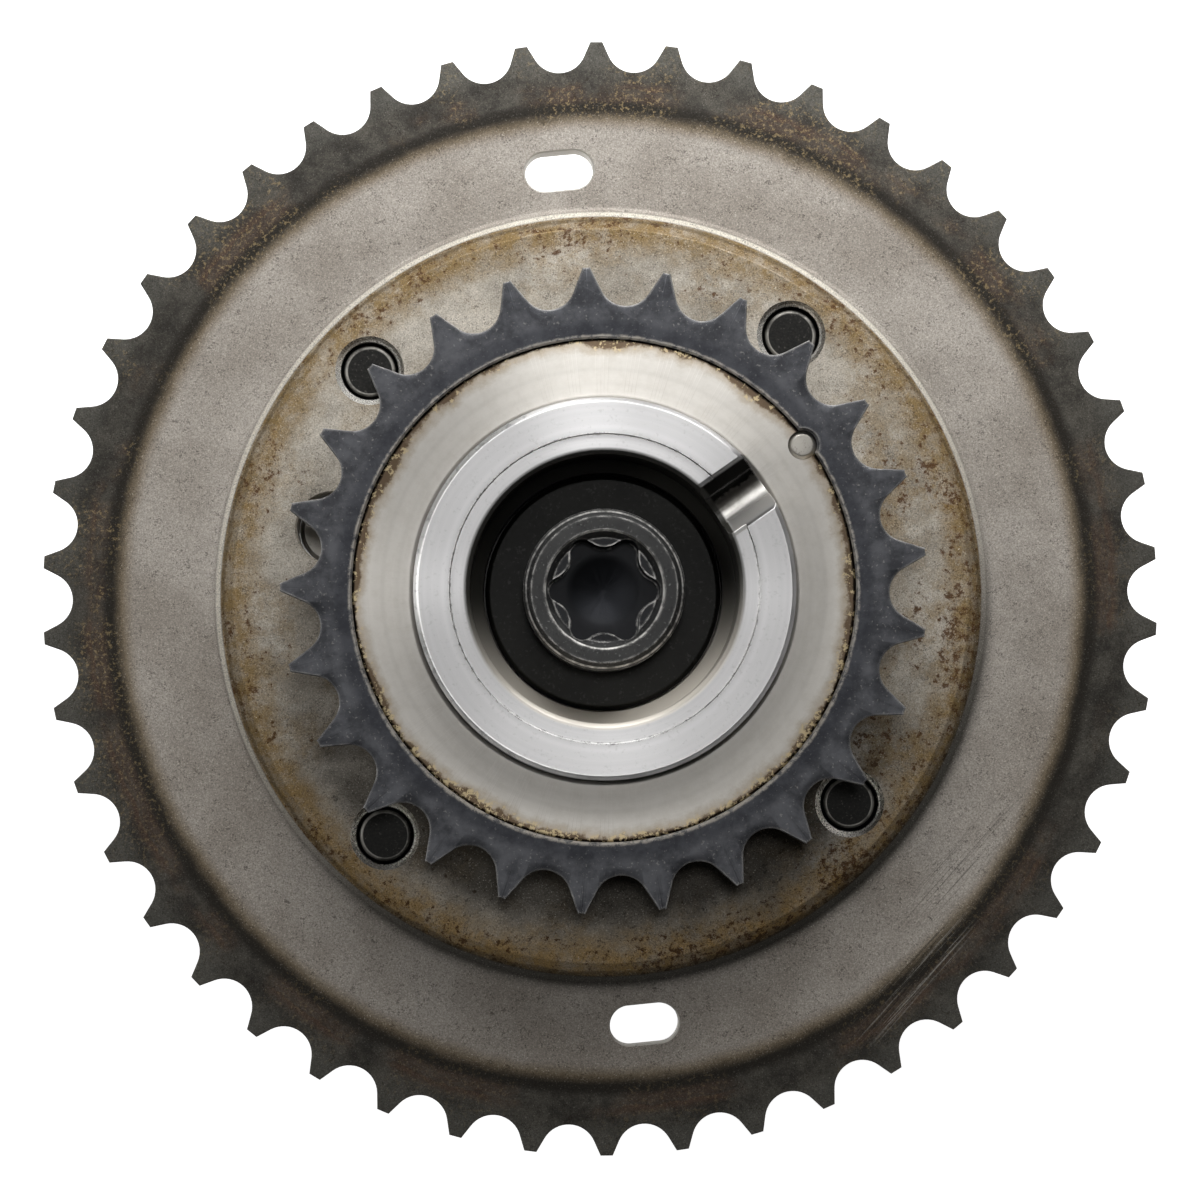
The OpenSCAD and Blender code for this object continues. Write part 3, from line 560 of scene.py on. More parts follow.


# %% [markdown]
# The plate's steel goes from the web outwards, ring by ring: the groove, a painted highlight
# along the foot of the raised face with a painted shadow below it at the lower right, the heat
# tint, the hardened band and the tooth tips.

# %% Plate steel
def make_plate_steel():
    s = Steel("plate_steel", 0.35)
    pits, sparks, grain, clouds = s.speckle(6.5)
    uneven = s.uneven(0.35, 4.0, 0.6)
    nearly_round = s.scaled(uneven, 0.8, s.radius)
    s.colour = s.mix(s.fade(clouds, 0.3, 0.7), (150, 142, 132), (174, 167, 158))
    rust = rusted_face(s, uneven)
    groove = s.between(nearly_round, 39.7, 39.95, 40.3, 40.1)
    s.lay((84, 68, 44), groove, 0.6)
    sides = s.parts(s.place)
    upper_left = s.scaled(sides[0], -0.4, sides[1])
    # Painted highlight along the foot of the raised face, strong at the upper left and faint at the lower
    # right.
    painted_foot_highlight = s.times(s.between(s.radius, 40.35, 40.55, 41.05, 40.85), s.fade(upper_left, -25.0, 15.0, 0.25, 1.0))
    s.lay((240, 234, 220), painted_foot_highlight, 0.85)
    # Painted shadow just outside the step of the raised face, at the lower right.
    shade = s.times(s.between(s.radius, 39.9, 40.4, 42.6, 40.8), s.fade(upper_left, -5.0, -32.0))
    s.lay((42, 42, 35), shade, 0.75)
    tint = s.between(nearly_round, 49.4, 51.2, 52.8, 51.4)
    s.lay((106, 88, 56), tint, 0.75)
    band = s.fade(nearly_round, 50.5, 52.0)
    mottle = s.cloud(0.3, 8.0, 0.74, 0.34, 0.66)
    dark = s.mix(mottle, (46, 44, 40), (84, 81, 74))
    around = s.node("ShaderNodeCombineXYZ", inputs={0: s.scaled(uneven, 2.2, s.radius)})
    smear = s.times(s.fade(s.noise(around, 0.6, 3.0, 0.6), 0.42, 0.56), s.fade(clouds, 0.42, 0.6),
                    s.fade(s.radius, 56.0, 54.0))
    dark = s.over(dark, (84, 62, 48), smear, 0.75)
    dark = s.over(dark, (38, 35, 30), s.fade(nearly_round, 53.4, 52.4))
    crumbs = s.times(s.cloud(2.1, 5.0, 0.75, 0.53, 0.6), s.fade(clouds, 0.46, 0.56),
                     s.fade(upper_left, -20.0, 20.0, 0.2, 0.6))
    dark = s.over(dark, (158, 138, 100), crumbs)
    dark = s.over(dark, (92, 91, 85), s.fade(s.radius, 55.4, 57.8), 0.6)
    s.lay(dark, s.times(band, 0.97))
    scratch_bundle(s, -8.0, -51.8, 10.0, 2.6, 1.0)
    scratch_bundle(s, 4.9, -47.6, 11.0, 3.4, 0.5)
    s.lay((50, 41, 32), pits, 0.5)
    sparks = s.times(sparks, s.scaled(band, -0.3, 0.4))
    s.lay((226, 220, 210), sparks)
    s.colour = s.node("ShaderNodeVectorMath", inputs={0: s.colour, "Scale": s.fade(grain, 0.3, 0.7, 0.7, 1.26)},
                    operation="SCALE")
    scratch = s.group(SCRATCHES, Place=s.place, Turn=-0.9)["Scratch"]
    scratch = s.times(scratch, s.scaled(band, -0.25, 0.3))
    s.lay((190, 184, 174), scratch)
    s.put(s.shader["Metallic"], s.scaled(band, 0.4, 0.35))
    roughness = s.scaled(rust, 0.3, s.scaled(band, -0.04, 0.46))
    roughness = s.scaled(painted_foot_highlight, -0.15, roughness)
    height = s.minus(grain, s.times(pits, 0.8))
    return s.finish(roughness, height, 0.3, 0.05 * MM)


PLATE_STEEL = make_plate_steel()


# %% [markdown]
# The hub's face is machined bright, with a brown stain that has crept inwards from the
# joint with the small sprocket. The boss is turned even brighter, and its lathe rings
# show as thin light and dark circles.

# %% Hub steel
def across_circles(s):
    """Tangent across the lathe marks: their fine grooves spread the light that way."""
    around = s.vector("CROSS_PRODUCT", (0, 0, 1), s.place)
    around = s.node("ShaderNodeVectorTransform", inputs={0: around}, vector_type="VECTOR",
                    convert_from="OBJECT", convert_to="WORLD")
    normal = s.node("ShaderNodeNewGeometry", "Normal")
    across = s.vector("CROSS_PRODUCT", normal, around)
    s.put(s.shader["Tangent"], s.vector("NORMALIZE", across))


def make_hub_steel():
    s = Steel("hub_steel", 0.85, anisotropic=0.74)
    across_circles(s)
    fine, broad = s.turning()
    uneven = s.uneven(0.6, 6.0, 0.75)
    spread = s.uneven(0.11, 3.0, 0.6)
    wavy = s.scaled(spread, 3.0, s.scaled(uneven, 1.8, s.radius))
    s.colour = s.mix(broad, (194, 190, 183), (224, 220, 213))
    clouds = s.cloud(0.6, 7.0, 0.8, 0.4, 0.68)
    s.lay((160, 152, 138), clouds, 0.16)
    s.lay((150, 124, 80), s.fade(wavy, 24.0, 25.4), 0.55)
    s.lay((78, 54, 28), s.fade(wavy, 25.05, 25.45), 0.8)
    s.lay((34, 26, 19), s.fade(s.scaled(uneven, 0.5, s.radius), 25.6, 25.8))
    flaked = s.scaled(s.fade(s.parts(s.place)[1], 5.0, -22.0), 0.06, s.noise(s.place, 1.6, 4.0, 0.7))
    crumbs = s.times(s.fade(wavy, 24.7, 25.2), s.fade(flaked, 0.57, 0.61))
    s.lay((210, 192, 152), crumbs, 0.85)
    return s.finish(s.scaled(fine, 0.14, 0.38), fine, 0.14, 0.02 * MM)


# %% [markdown]
# The boss adds a broken dark line of painted shade where its face steps, a painted highlight
# along its rim, strongest on the left, the key slot with a painted highlight on its floor and
# painted shade on one wall, and the bore, painted dark on its upper side and light on its
# lower side as painted shade and light.

# %% Boss steel
def make_boss_steel():
    s = Steel("boss_steel", 0.95, anisotropic=0.9)
    across_circles(s)
    fine, broad = s.turning(4.0)
    s.colour = s.mix(broad, (162, 161, 161), (199, 198, 198))
    s.lay((90, 84, 78), s.speckle(3.0)["Pits"], 0.16)
    # A dark line painted along the step of the face and broken by noise: painted shade in the step.
    from_step = s.math("ABSOLUTE", s.minus(s.radius, LAND_R / MM))
    broken_step_shade = s.cloud(1.6, 4.0, 0.7, 0.5, 0.62, 0.25, 1.0)
    s.lay((70, 68, 66), s.times(s.fade(from_step, 0.2, 0.08), broken_step_shade))
    top, rim = BOSS_Z / MM, NOSE_R / MM
    below = s.fade(s.height, top - 0.15, top - 0.45)
    # Painted highlight along the rim of the boss's face, strongest on the left and broken by noise.
    corner = s.times(s.fade(s.radius, rim - 0.62, rim - 0.5), s.fade(s.height, top - 0.5, top - 0.3),
                     s.fade(s.parts(s.place)[0], 2.0, -12.0, 0.1, 0.9))
    s.lay((250, 249, 246), s.times(corner, s.cloud(0.8, 5.0, 0.7, 0.36, 0.5, 0.3, 1.0)))
    turned_place = s.turn(s.place, math.radians(-BOSS_SLOT_ANGLE))
    parts = s.parts(turned_place)
    in_slot = s.times(s.fade(s.math("ABSOLUTE", parts[1]), 3.35, 3.2), s.fade(parts[0], 12, 13))
    in_slot = s.times(in_slot, s.times(below, s.fade(s.height, HUB_Z / MM - 0.5, HUB_Z / MM)))
    # In the slot: painted light on the lower side of the floor, and painted shade, near black, on the upper
    # wall.
    across_slot = s.scaled(s.uneven(1.1, 3.0, 0.6), 1.0, parts[1])
    slot_light_and_shade = s.mix(s.fade(across_slot, -1.6, 0.4), (226, 224, 220), (120, 117, 111))
    slot_light_and_shade = s.mix(s.fade(across_slot, 0.7, 1.1), slot_light_and_shade, (20, 20, 18))
    s.lay(slot_light_and_shade, in_slot)
    s.lay((244, 243, 240), s.worn_edges(0.3 * MM), 0.7)
    in_bore = s.times(s.fade(s.radius, 14.6, 14.3), below)
    # Painted shade on the upper side of the bore and painted light on its lower side.
    downwards = s.measure("DOT_PRODUCT", s.place, (0.008, -0.073, 0))
    bore_light_and_shade = s.mix(s.fade(downwards, -0.1, 1.2), (46, 45, 41), (228, 221, 209))
    s.lay(bore_light_and_shade, in_bore)
    s.put(s.shader["Metallic"], s.scaled(in_bore, -0.75, 0.95))
    return s.finish(s.scaled(in_slot, 0.25, s.scaled(fine, 0.16, 0.25)), fine, 0.16, 0.02 * MM)


HUB_STEEL = make_hub_steel()
BOSS_STEEL = make_boss_steel()


# %% [markdown]
# The small sprocket has a smooth blue-black oxide skin, rubbed bright along its edges and
# in places round its bore.

# %% Small sprocket steel
def make_ring_steel():
    s = Steel("ring_steel", 0.6)
    _, sparks, grain, _ = s.speckle(3.0)
    patches = s.cloud(0.35, 9.0, 0.68, 0.34, 0.66)
    s.colour = s.mix(patches, (55, 56, 60), (90, 91, 95))
    s.lay((168, 166, 162), sparks, 0.35)
    scratch = s.group(SCRATCHES, Place=s.place, Turn=0.5)["Scratch"]
    s.lay((150, 150, 152), scratch, 0.3)
    s.lay((34, 36, 44), s.fade(s.radius, 28.3, 27.2), 0.5)
    uneven = s.uneven(0.8, 4.0, 0.7)
    near_bore = s.scaled(uneven, 0.5, s.radius)
    rubbed = s.times(s.fade(near_bore, 26.5, 26.2), s.cloud(1.4, 4.0, 0.7, 0.4, 0.55))
    s.lay((176, 168, 156), rubbed, 0.7)
    s.lay((172, 170, 166), s.worn_edges(0.4 * MM), 0.8)
    return s.finish(s.scaled(grain, 0.16, 0.34), grain, 0.15)


RING_STEEL = make_ring_steel()


# %% [markdown]
# The bolt is black phosphate, rubbed bright at the edges that a driver touches, with painted
# highlights along the edges of its head and socket mouth. Its socket is painted darker and
# bluer, darkest towards the wall, as painted shade. The washer under it is the darkest piece
# of all.

# %% Bolt steel and washer steel
def make_bolt_steel():
    s = Steel("bolt_steel", 0.6)
    pits, sparks, grain, clouds = s.speckle(3.4)
    top = BOLT_TOP_Z / MM
    s.colour = s.mix(s.fade(clouds, 0.35, 0.65), (52, 52, 52), (72, 72, 71))
    s.lay((24, 24, 24), pits, 0.45)
    s.lay((150, 150, 148), sparks, 0.4)
    # Painted shade in the socket, with a blue tint: darker than the head, and darkest towards its wall.
    in_socket = s.times(s.fade(s.radius, 6.0, 5.8), s.fade(s.height, top - 0.4, top - 0.9))
    s.lay(s.mix(s.fade(s.radius, 1.4, 4.4), (44, 46, 51), (26, 27, 30)), in_socket)
    # Painted highlights: bright lines at the edge of the head's chamfer and at the socket's mouth, joined with
    # real edge wear and broken by noise.
    rim = s.between(s.radius, 7.95, 8.02, 8.2, 8.13)
    mouth = s.between(s.radius, 5.98, 6.05, 6.22, 6.15)
    lines = s.times(s.math("MAXIMUM", rim, mouth), s.fade(s.height, top - 1.4, top - 1.2))
    rubbed = s.math("MAXIMUM", lines, s.worn_edges(0.35 * MM))
    rubbed = s.times(rubbed, s.cloud(0.9, 5.0, 0.75, 0.38, 0.6, 0.2, 1.0))
    s.lay((222, 220, 215), rubbed)
    return s.finish(s.scaled(grain, 0.16, 0.34), grain, 0.25)


def make_washer_steel():
    s = Steel("washer_steel", 0.6)
    pits, _, grain, clouds = s.speckle(3.0)
    edge = (60, 60, 58)
    s.colour = s.mix(s.fade(clouds, 0.35, 0.65), (17, 17, 15), (26, 26, 23))
    s.lay(edge, pits, 0.35)
    s.lay(edge, s.worn_edges(0.28 * MM), 0.3)
    return s.finish(s.scaled(grain, 0.16, 0.34), grain, 0.18)


BOLT_STEEL = make_bolt_steel()
WASHER_STEEL = make_washer_steel()


# %% [markdown]
# The screws' ends are dull and black, and the bevel round each is rubbed grey; past the bevel
# the screw is painted near black as painted shade in its hole. The mouths round them are
# freshly countersunk: a painted highlight line inside, then duller towards the face, a painted
# highlight on the side that faces the light, and painted shade down in the hole.

# %% Screw steel and bright cut
def make_screw_steel():
    s = Steel("screw_steel", 0.6)
    _, sparks, grain, _ = s.speckle(3.4)
    s.colour = s.mix(s.fade(grain, 0.35, 0.65), (20, 20, 18), (34, 33, 30))
    s.lay((110, 106, 100), sparks, 0.4)
    from_axis = s.group(SCREW_DISTANCE, Place=s.place)["Distance"]
    bevel = s.times(s.between(from_axis, 2.3, 2.4, 2.75, 2.6), s.cloud(0.5, 4.0, 0.7, 0.36, 0.6, 0.3, 1.0))
    s.lay((158, 155, 148), bevel)
    # Painted shade: past its bevel, down in the hole, the screw is painted near black.
    s.lay((12, 12, 11), s.fade(from_axis, 2.7, 2.8))
    return s.finish(s.scaled(grain, 0.16, 0.36), grain, 0.25)


def make_bright_cut():
    s = Steel("bright_cut_steel", 0.75)
    grain = s.speckle(5.0)["Grain"]
    from_axis = s.group(SCREW_DISTANCE, Place=s.place)["Distance"]
    s.colour = s.mix(s.fade(grain, 0.35, 0.65), (190, 184, 174), (210, 204, 194))
    # Painted highlight on the side of each mouth that faces up and to the right.
    painted_highlight_side = s.measure("DOT_PRODUCT", s.node("ShaderNodeNewGeometry", "Normal"), (0.7, 0.7, 0))
    s.lay((70, 66, 58), 0.45)
    s.lay((250, 247, 240), s.fade(painted_highlight_side, 0.1, 0.45))
    # Painted highlight: a bright line round the inner edge of each mouth. Inside it, the hole's wall is painted
    # dark as painted shade.
    line = s.between(from_axis, 3.05, 3.12, 3.36, 3.26)
    s.lay((240, 238, 232), line, 0.8)
    s.lay((46, 43, 38), s.fade(from_axis, 3.11, 3.06))
    return s.finish(s.scaled(grain, 0.16, 0.2), grain, 0.2)


SCREW_STEEL = make_screw_steel()
BRIGHT_CUT = make_bright_cut()


# %% [markdown]
# Behind the sprocket are sintered housing parts, ground pins, bright springs and dark
# polymer seals. A plain steel with its own colours serves each of them.

# %% Plain steels
def make_plain_steel(name, low, high, metallic, rough, rings=0.0, grain=4.0):
    s = Steel(name, metallic)
    pits, _, fine_grain, clouds = s.speckle(grain)
    fine, _ = s.turning()
    s.colour = s.mix(clouds, low, high)
    s.lay((60, 56, 52), pits, 0.4)
    s.lay((214, 212, 208), s.worn_edges(0.25 * MM), 0.4)
    return s.finish(s.scaled(fine_grain, 0.15, rough), s.scaled(fine, rings, fine_grain), 0.2)


HOUSING_STEEL = make_plain_steel("housing_steel", (146, 142, 136), (178, 174, 166), 0.55, 0.42, rings=0.8)
PIN_STEEL = make_plain_steel("pin_steel", (158, 154, 146), (188, 184, 176), 0.7, 0.3, grain=6.0)
SPRING_STEEL = make_plain_steel("spring_steel", (150, 150, 150), (186, 186, 186), 0.8, 0.3)
SLOT_STEEL = make_plain_steel("slot_wall_steel", (196, 191, 182), (224, 220, 212), 0.3, 0.4)
SEAL_POLYMER = make_plain_steel("seal_polymer", (32, 31, 30), (46, 44, 42), 0.0, 0.5)


# %% [markdown]
# ## Sprockets
# A chain sprocket is the same tooth over and over. The outline of one pitch, from valley
# to valley, is worked out from the chain: a roller seat, a straight flank tangent to it,
# and a flat tip. The sector between two valleys is built once, and Geometry Nodes turn
# it round the axis.

# %% One pitch of a sprocket
CHAIN_PITCH = 8 * MM
ROLLER_R = 2.5 * MM


def tooth_outline(teeth, tip_rise, tip_land, seat_play, arc_steps=8, flank_steps=2):
    """Points from a valley's middle over one tooth to the next valley's middle."""
    pitch_r = CHAIN_PITCH / (2 * math.sin(math.pi / teeth))
    tip_r = pitch_r + tip_rise
    seat_r = ROLLER_R + seat_play
    seat_x = pitch_r + seat_play
    half_gap = tip_r * math.sin(math.pi / teeth) - tip_land / 2
    reach = math.hypot(tip_r - seat_x, half_gap)
    touch = math.atan2(half_gap, tip_r - seat_x) + math.acos(seat_r / reach)
    half = []
    for i in range(arc_steps + 1):
        turn = math.pi + (touch - math.pi) * i / arc_steps
        half.append(Vector((seat_x + seat_r * math.cos(turn), seat_r * math.sin(turn))))
    corner = Vector((tip_r, half_gap))
    half += [half[-1].lerp(corner, i / flank_steps) for i in range(1, flank_steps)]
    half.append(corner.lerp(half[-1], 0.12))
    valley = Matrix.Rotation(-math.pi / teeth, 2)
    half = [valley @ p for p in half]
    land = math.atan2(tip_land / 2, tip_r)
    half += [Vector((tip_r * math.cos(-a), tip_r * math.sin(-a))) for a in (land * 0.82, land * 0.4)]
    return half + [Vector((tip_r, 0))] + [Vector((p.x, -p.y)) for p in reversed(half)]


def tooth_sector(name, outline, section, material):
    """One pitch of a sprocket. A row of the section is a circle's radius and height, or,
    marked as a tooth row, an inset from the outline and a height."""
    normals = []
    for i, p in enumerate(outline):
        ahead = outline[min(i + 1, len(outline) - 1)] - outline[max(i - 1, 0)]
        normals.append(Vector((ahead.y, -ahead.x)).normalized())
    normals[0] = outline[0].normalized()
    normals[-1] = outline[-1].normalized()
    points = []
    for p, normal in zip(outline, normals):
        radial = p.normalized()
        for kind, across, z in section:
            flat = radial * across if kind == "circle" else p - normal * across
            points.append((flat.x, flat.y, z))
    mesh = bpy.data.meshes.new(name)
    mesh.from_pydata(points, [], skin(len(outline), len(section)))
    return new_piece(name, mesh, material)


def tooth_rows(low, high, bevel):
    """The rows over a tooth's rim, from its rear face to its front face."""
    third = bevel / 3
    return [("tooth", bevel, low), ("tooth", third, low + third), ("tooth", 0, low + bevel),
            ("tooth", 0, high - bevel), ("tooth", third, high - third), ("tooth", bevel, high)]


# %% [markdown]
# The tree below copies whatever mesh it sits on. Its inputs are the number of copies and
# the angle of the first. The copies share their border points, so a last merge makes one
# closed skin.

# %% Repeat round the axis
def make_repeat_tree():
    tree, g, given, result = new_group("repeat_round_axis", {
        "Sector": GEOMETRY, "Copies": WHOLE, "First Angle": FLOAT, "Merge Distance": FLOAT,
        "Material": MATERIAL}, {"Wheel": GEOMETRY}, "GeometryNodeTree")
    step = g.math("DIVIDE", 2 * math.pi, given["Copies"])
    turn = g.scaled(g.node("GeometryNodeInputIndex"), step, given["First Angle"])
    rotation = g.node("ShaderNodeCombineXYZ", inputs={2: turn})
    spots = g.node("GeometryNodePoints", inputs={"Count": given["Copies"]})
    copies = g.node("GeometryNodeInstanceOnPoints", inputs={
        "Points": spots, "Instance": given["Sector"], "Rotation": rotation})
    solid = g.node("GeometryNodeRealizeInstances", inputs={0: copies})
    merged = g.node("GeometryNodeMergeByDistance", inputs={0: solid, "Distance": given["Merge Distance"]})
    g.put(result[0], g.node("GeometryNodeSetMaterial", inputs={
        "Geometry": merged, "Material": given["Material"]}))
    return tree


REPEAT_TREE = make_repeat_tree()


def run_tree(piece, tree, **values):
    """Runs a Geometry Nodes tree on a piece and keeps the mesh it makes."""
    modifier = piece.modifiers.new(tree.name, "NODES")
    modifier.node_group = tree
    for item in tree.interface.items_tree:
        key = item.name.replace(" ", "_")
        if key in values:
            modifier[item.identifier] = values[key]
    keep_result(piece)


def wheel(name, outline, section, teeth, phase, material):
    """A closed wheel of teeth, the first of them turned to the phase in degrees."""
    piece = tooth_sector(name, outline, section, material)
    run_tree(piece, REPEAT_TREE, Copies=teeth, First_Angle=math.radians(phase),
             Merge_Distance=0.002 * MM, Material=material)
    edit = bmesh.new()
    edit.from_mesh(piece.data)
    bmesh.ops.recalc_face_normals(edit, faces=edit.faces)
    open_edges = sum(1 for e in edit.edges if len(e.link_faces) != 2)
    edit.to_mesh(piece.data)
    edit.free()
    print(name, len(piece.data.polygons), "faces before its holes, open edges", open_edges)
    return piece


# %% [markdown]
# The large sprocket's section runs once round the plate: rear face, relief behind the
# teeth, tooth rim, web, the fillet and slope up to the raised face, the neck and shoulder
# under the small sprocket, and the hub with its bore.

# %% Large sprocket
PRIMARY_TEETH = 46
PRIMARY_PHASE = 4.445
PRIMARY_TIP_RISE = 0.68 * MM
PRIMARY_TIP_LAND = 1.2 * MM
PRIMARY_SEAT_PLAY = 0.45 * MM
TOOTH_BEVEL = 0.14 * MM
PROFILE_SOFT = 0.12 * MM
BAND_R = 54.5 * MM
WEB_R = 47 * MM
FOOT_FILLET = 1 * MM
NECK_FILLET = 1 * MM
FACE_EDGE = 0.4 * MM
BORE_BEVEL = 0.4 * MM
SPIGOT_BEVEL = 0.2 * MM


def circles(profile):
    """Rows of a section that are circles, from (radius, height) points."""
    return [("circle", r, z) for r, z in profile]


def arc_points(x, y, radius, start, end, steps=5):
    turns = [math.radians(start + (end - start) * i / steps) for i in range(steps + 1)]
    return [(x + radius * math.cos(t), y + radius * math.sin(t)) for t in turns]


front = (
    [(BAND_R, WEB_Z), (WEB_R, WEB_Z)]
    + arc_points(PLATEAU_FOOT_R + FOOT_FILLET, WEB_Z + FOOT_FILLET, FOOT_FILLET, 270, 218)
    + arc_points(PLATEAU_R - FACE_EDGE, PLATEAU_Z - FACE_EDGE, FACE_EDGE, 38, 90)
    + arc_points(NECK_R + NECK_FILLET, PLATEAU_Z + NECK_FILLET, NECK_FILLET, 270, 180)
)
shoulder_z = RING_Z - SHOULDER_T
hub_and_rear = [
    (NECK_R, shoulder_z - (SHOULDER_R - NECK_R)), (SHOULDER_R, shoulder_z), (SHOULDER_R, RING_Z),
    (SPIGOT_R, RING_Z), (SPIGOT_R, HUB_Z - SPIGOT_BEVEL), (SPIGOT_R - SPIGOT_BEVEL, HUB_Z),
    (PLATE_BORE_R + BORE_BEVEL, HUB_Z), (PLATE_BORE_R, HUB_Z - BORE_BEVEL),
    (PLATE_BORE_R, PLATE_Z + BORE_BEVEL), (PLATE_BORE_R + BORE_BEVEL, PLATE_Z),
    (WEB_R, PLATE_Z), (BAND_IN_R, PLATE_Z), (BAND_IN_R + TOOTH_RELIEF, PLATE_Z + TOOTH_RELIEF),
    (BAND_R, PLATE_Z + TOOTH_RELIEF)]
# an open profile gets its corners softened between two points on the axis, which go again
closed = [(0, hub_and_rear[0][1])] + hub_and_rear + [(0, hub_and_rear[-1][1])]
plate_section = (tooth_rows(PLATE_Z + TOOTH_RELIEF, WEB_Z, TOOTH_BEVEL) + circles(front)
                 + circles(soften(closed, PROFILE_SOFT, 2)[1:-1]))
plate = wheel("plate", tooth_outline(PRIMARY_TEETH, PRIMARY_TIP_RISE, PRIMARY_TIP_LAND, PRIMARY_SEAT_PLAY),
              plate_section, PRIMARY_TEETH, PRIMARY_PHASE, PLATE_STEEL)


# %% [markdown]
# Four screw holes open in bevelled mouths, the fifth hole shows the lock pin's bush, two
# round-ended slots go through the web, and the timing pin's hole lies half in the hub.

# %% Holes in the large sprocket
OVER = 1 * MM
SCREW_HOLE_R = 3.05 * MM
SCREW_MOUTH = 0.6 * MM
SLOT_LENGTH = 7.3 * MM
SLOT_WIDTH = 4.2 * MM
SLOT_MOUTH = 0.15 * MM
BUSH_SEAT_R = 4.81 * MM
BUSH_SEAT_DEPTH = 4.01 * MM
LOCK_HOLE_R = 3.7 * MM
LOCK_MOUTH = 0.2 * MM
PIN_HOLE_R = 1.51 * MM
PIN_HOLE_DEPTH = 5.82 * MM
PIN_MOUTH = 0.25 * MM


def hole_cutter(name, radius, low, high, mouth, material):
    """A round hole that goes OVER past its upper end and flares out there."""
    top = high + OVER
    profile = [(0, low), (radius, low), (radius, high - mouth), (radius + mouth + OVER, top), (0, top)]
    return turned(name, profile, material, 72, soft=0)


def slot_cutter(name, length, width, low, high, mouth):
    """A round-ended slot whose lips flare out at both faces."""
    straight = (length - width) / 2
    levels = [(mouth + OVER, low - OVER), (0, low + mouth), (0, high - mouth), (mouth + OVER, high + OVER)]
    steps = 24
    points = []
    for grow, z in levels:
        for i in range(2 * steps):
            turn = math.pi * (i + 0.5) / steps
            side = 1 if i < steps else -1
            radius = width / 2 + grow
            points.append((radius * math.cos(turn), side * straight + radius * math.sin(turn), z))
    loop = 2 * steps
    ends = [tuple(range(loop)), tuple(range(len(points) - loop, len(points)))]
    return new_piece(name, mesh_from(name, points, skin(len(levels), loop) + ends), SLOT_STEEL)


cutters = [place(hole_cutter(f"hole_{a}", SCREW_HOLE_R, PLATE_Z - OVER, PLATEAU_Z, SCREW_MOUTH, BRIGHT_CUT),
                 SCREW_CIRCLE_R, a) for a in SCREW_ANGLES]
cutters += [place(slot_cutter(f"slot_{a}", SLOT_LENGTH, SLOT_WIDTH, PLATE_Z, WEB_Z, SLOT_MOUTH),
                  SLOT_CIRCLE_R, a) for a in (SLOT_ANGLE, SLOT_ANGLE + 180)]
cutters += [place(hole_cutter(name, radius, low, high, mouth, PLATE_STEEL), LOCK_CIRCLE_R, LOCK_ANGLE)
            for name, radius, low, high, mouth in (
                ("bush_seat", BUSH_SEAT_R, PLATE_Z - OVER, PLATE_Z + BUSH_SEAT_DEPTH, 0),
                ("lock_hole", LOCK_HOLE_R, PLATE_Z, PLATEAU_Z, LOCK_MOUTH))]
cutters.append(place(hole_cutter(
    "pin_hole", PIN_HOLE_R, RING_TOP_Z - PIN_HOLE_DEPTH, RING_TOP_Z, PIN_MOUTH, HUB_STEEL),
    TIMING_CIRCLE_R, TIMING_PIN_ANGLE))
cut(plate, *cutters)


def paint(piece, material, test):
    """Gives the faces that pass a test of their centre's radius and height a material."""
    if material.name not in [m.name for m in piece.data.materials]:
        piece.data.materials.append(material)
    index = [m.name for m in piece.data.materials].index(material.name)
    for face in piece.data.polygons:
        centre = face.center
        if test(math.hypot(centre.x, centre.y), centre.z):
            face.material_index = index


paint(plate, HUB_STEEL, lambda r, z: r < SPIGOT_R + 0.01 * MM and z > RING_Z + 0.1 * MM)
finish_piece(plate, "housing", "sprocket_plate")

# %% [markdown]
# The small sprocket is a flat ring of pointed teeth. It uses the same outline and tree
# with its own tooth count, and the timing pin's hole takes a bite from its bore.

# %% Small sprocket
SECONDARY_TEETH = 25
SECONDARY_PHASE = 6.8
SECONDARY_TIP_RISE = 1.42 * MM
SECONDARY_TIP_LAND = 0.55 * MM
SECONDARY_SEAT_PLAY = 0.28 * MM
RING_BORE_R = SPIGOT_R + 0.01 * MM
RING_MID_R = 28.6 * MM
RING_BEVEL = 0.2 * MM
RING_TOOTH_BEVEL = 0.1 * MM
ring_section = tooth_rows(RING_Z, RING_TOP_Z, RING_TOOTH_BEVEL) + circles([
    (RING_MID_R, RING_TOP_Z), (RING_BORE_R + RING_BEVEL, RING_TOP_Z), (RING_BORE_R, RING_TOP_Z - RING_BEVEL),
    (RING_BORE_R, RING_Z + RING_BEVEL), (RING_BORE_R + RING_BEVEL, RING_Z), (RING_MID_R, RING_Z)])
ring = wheel("small_sprocket", tooth_outline(
    SECONDARY_TEETH, SECONDARY_TIP_RISE, SECONDARY_TIP_LAND, SECONDARY_SEAT_PLAY),
    ring_section, SECONDARY_TEETH, SECONDARY_PHASE, RING_STEEL)
cut(ring, place(hole_cutter("pin_hole", PIN_HOLE_R, RING_Z - OVER, RING_TOP_Z, PIN_MOUTH, RING_STEEL),
                TIMING_CIRCLE_R, TIMING_PIN_ANGLE))
finish_piece(ring, "housing", "secondary_sprocket")

# %% [markdown]
# ## Rotor, bolt, housing and small parts
# These keep the model's own surfaces. A copy of each mesh is merged, its flat faces are
# joined again, and a narrow bevel breaks the edges, as a file or a tumbler would.

# %% Broken edges
BROKEN_ANGLE = 35


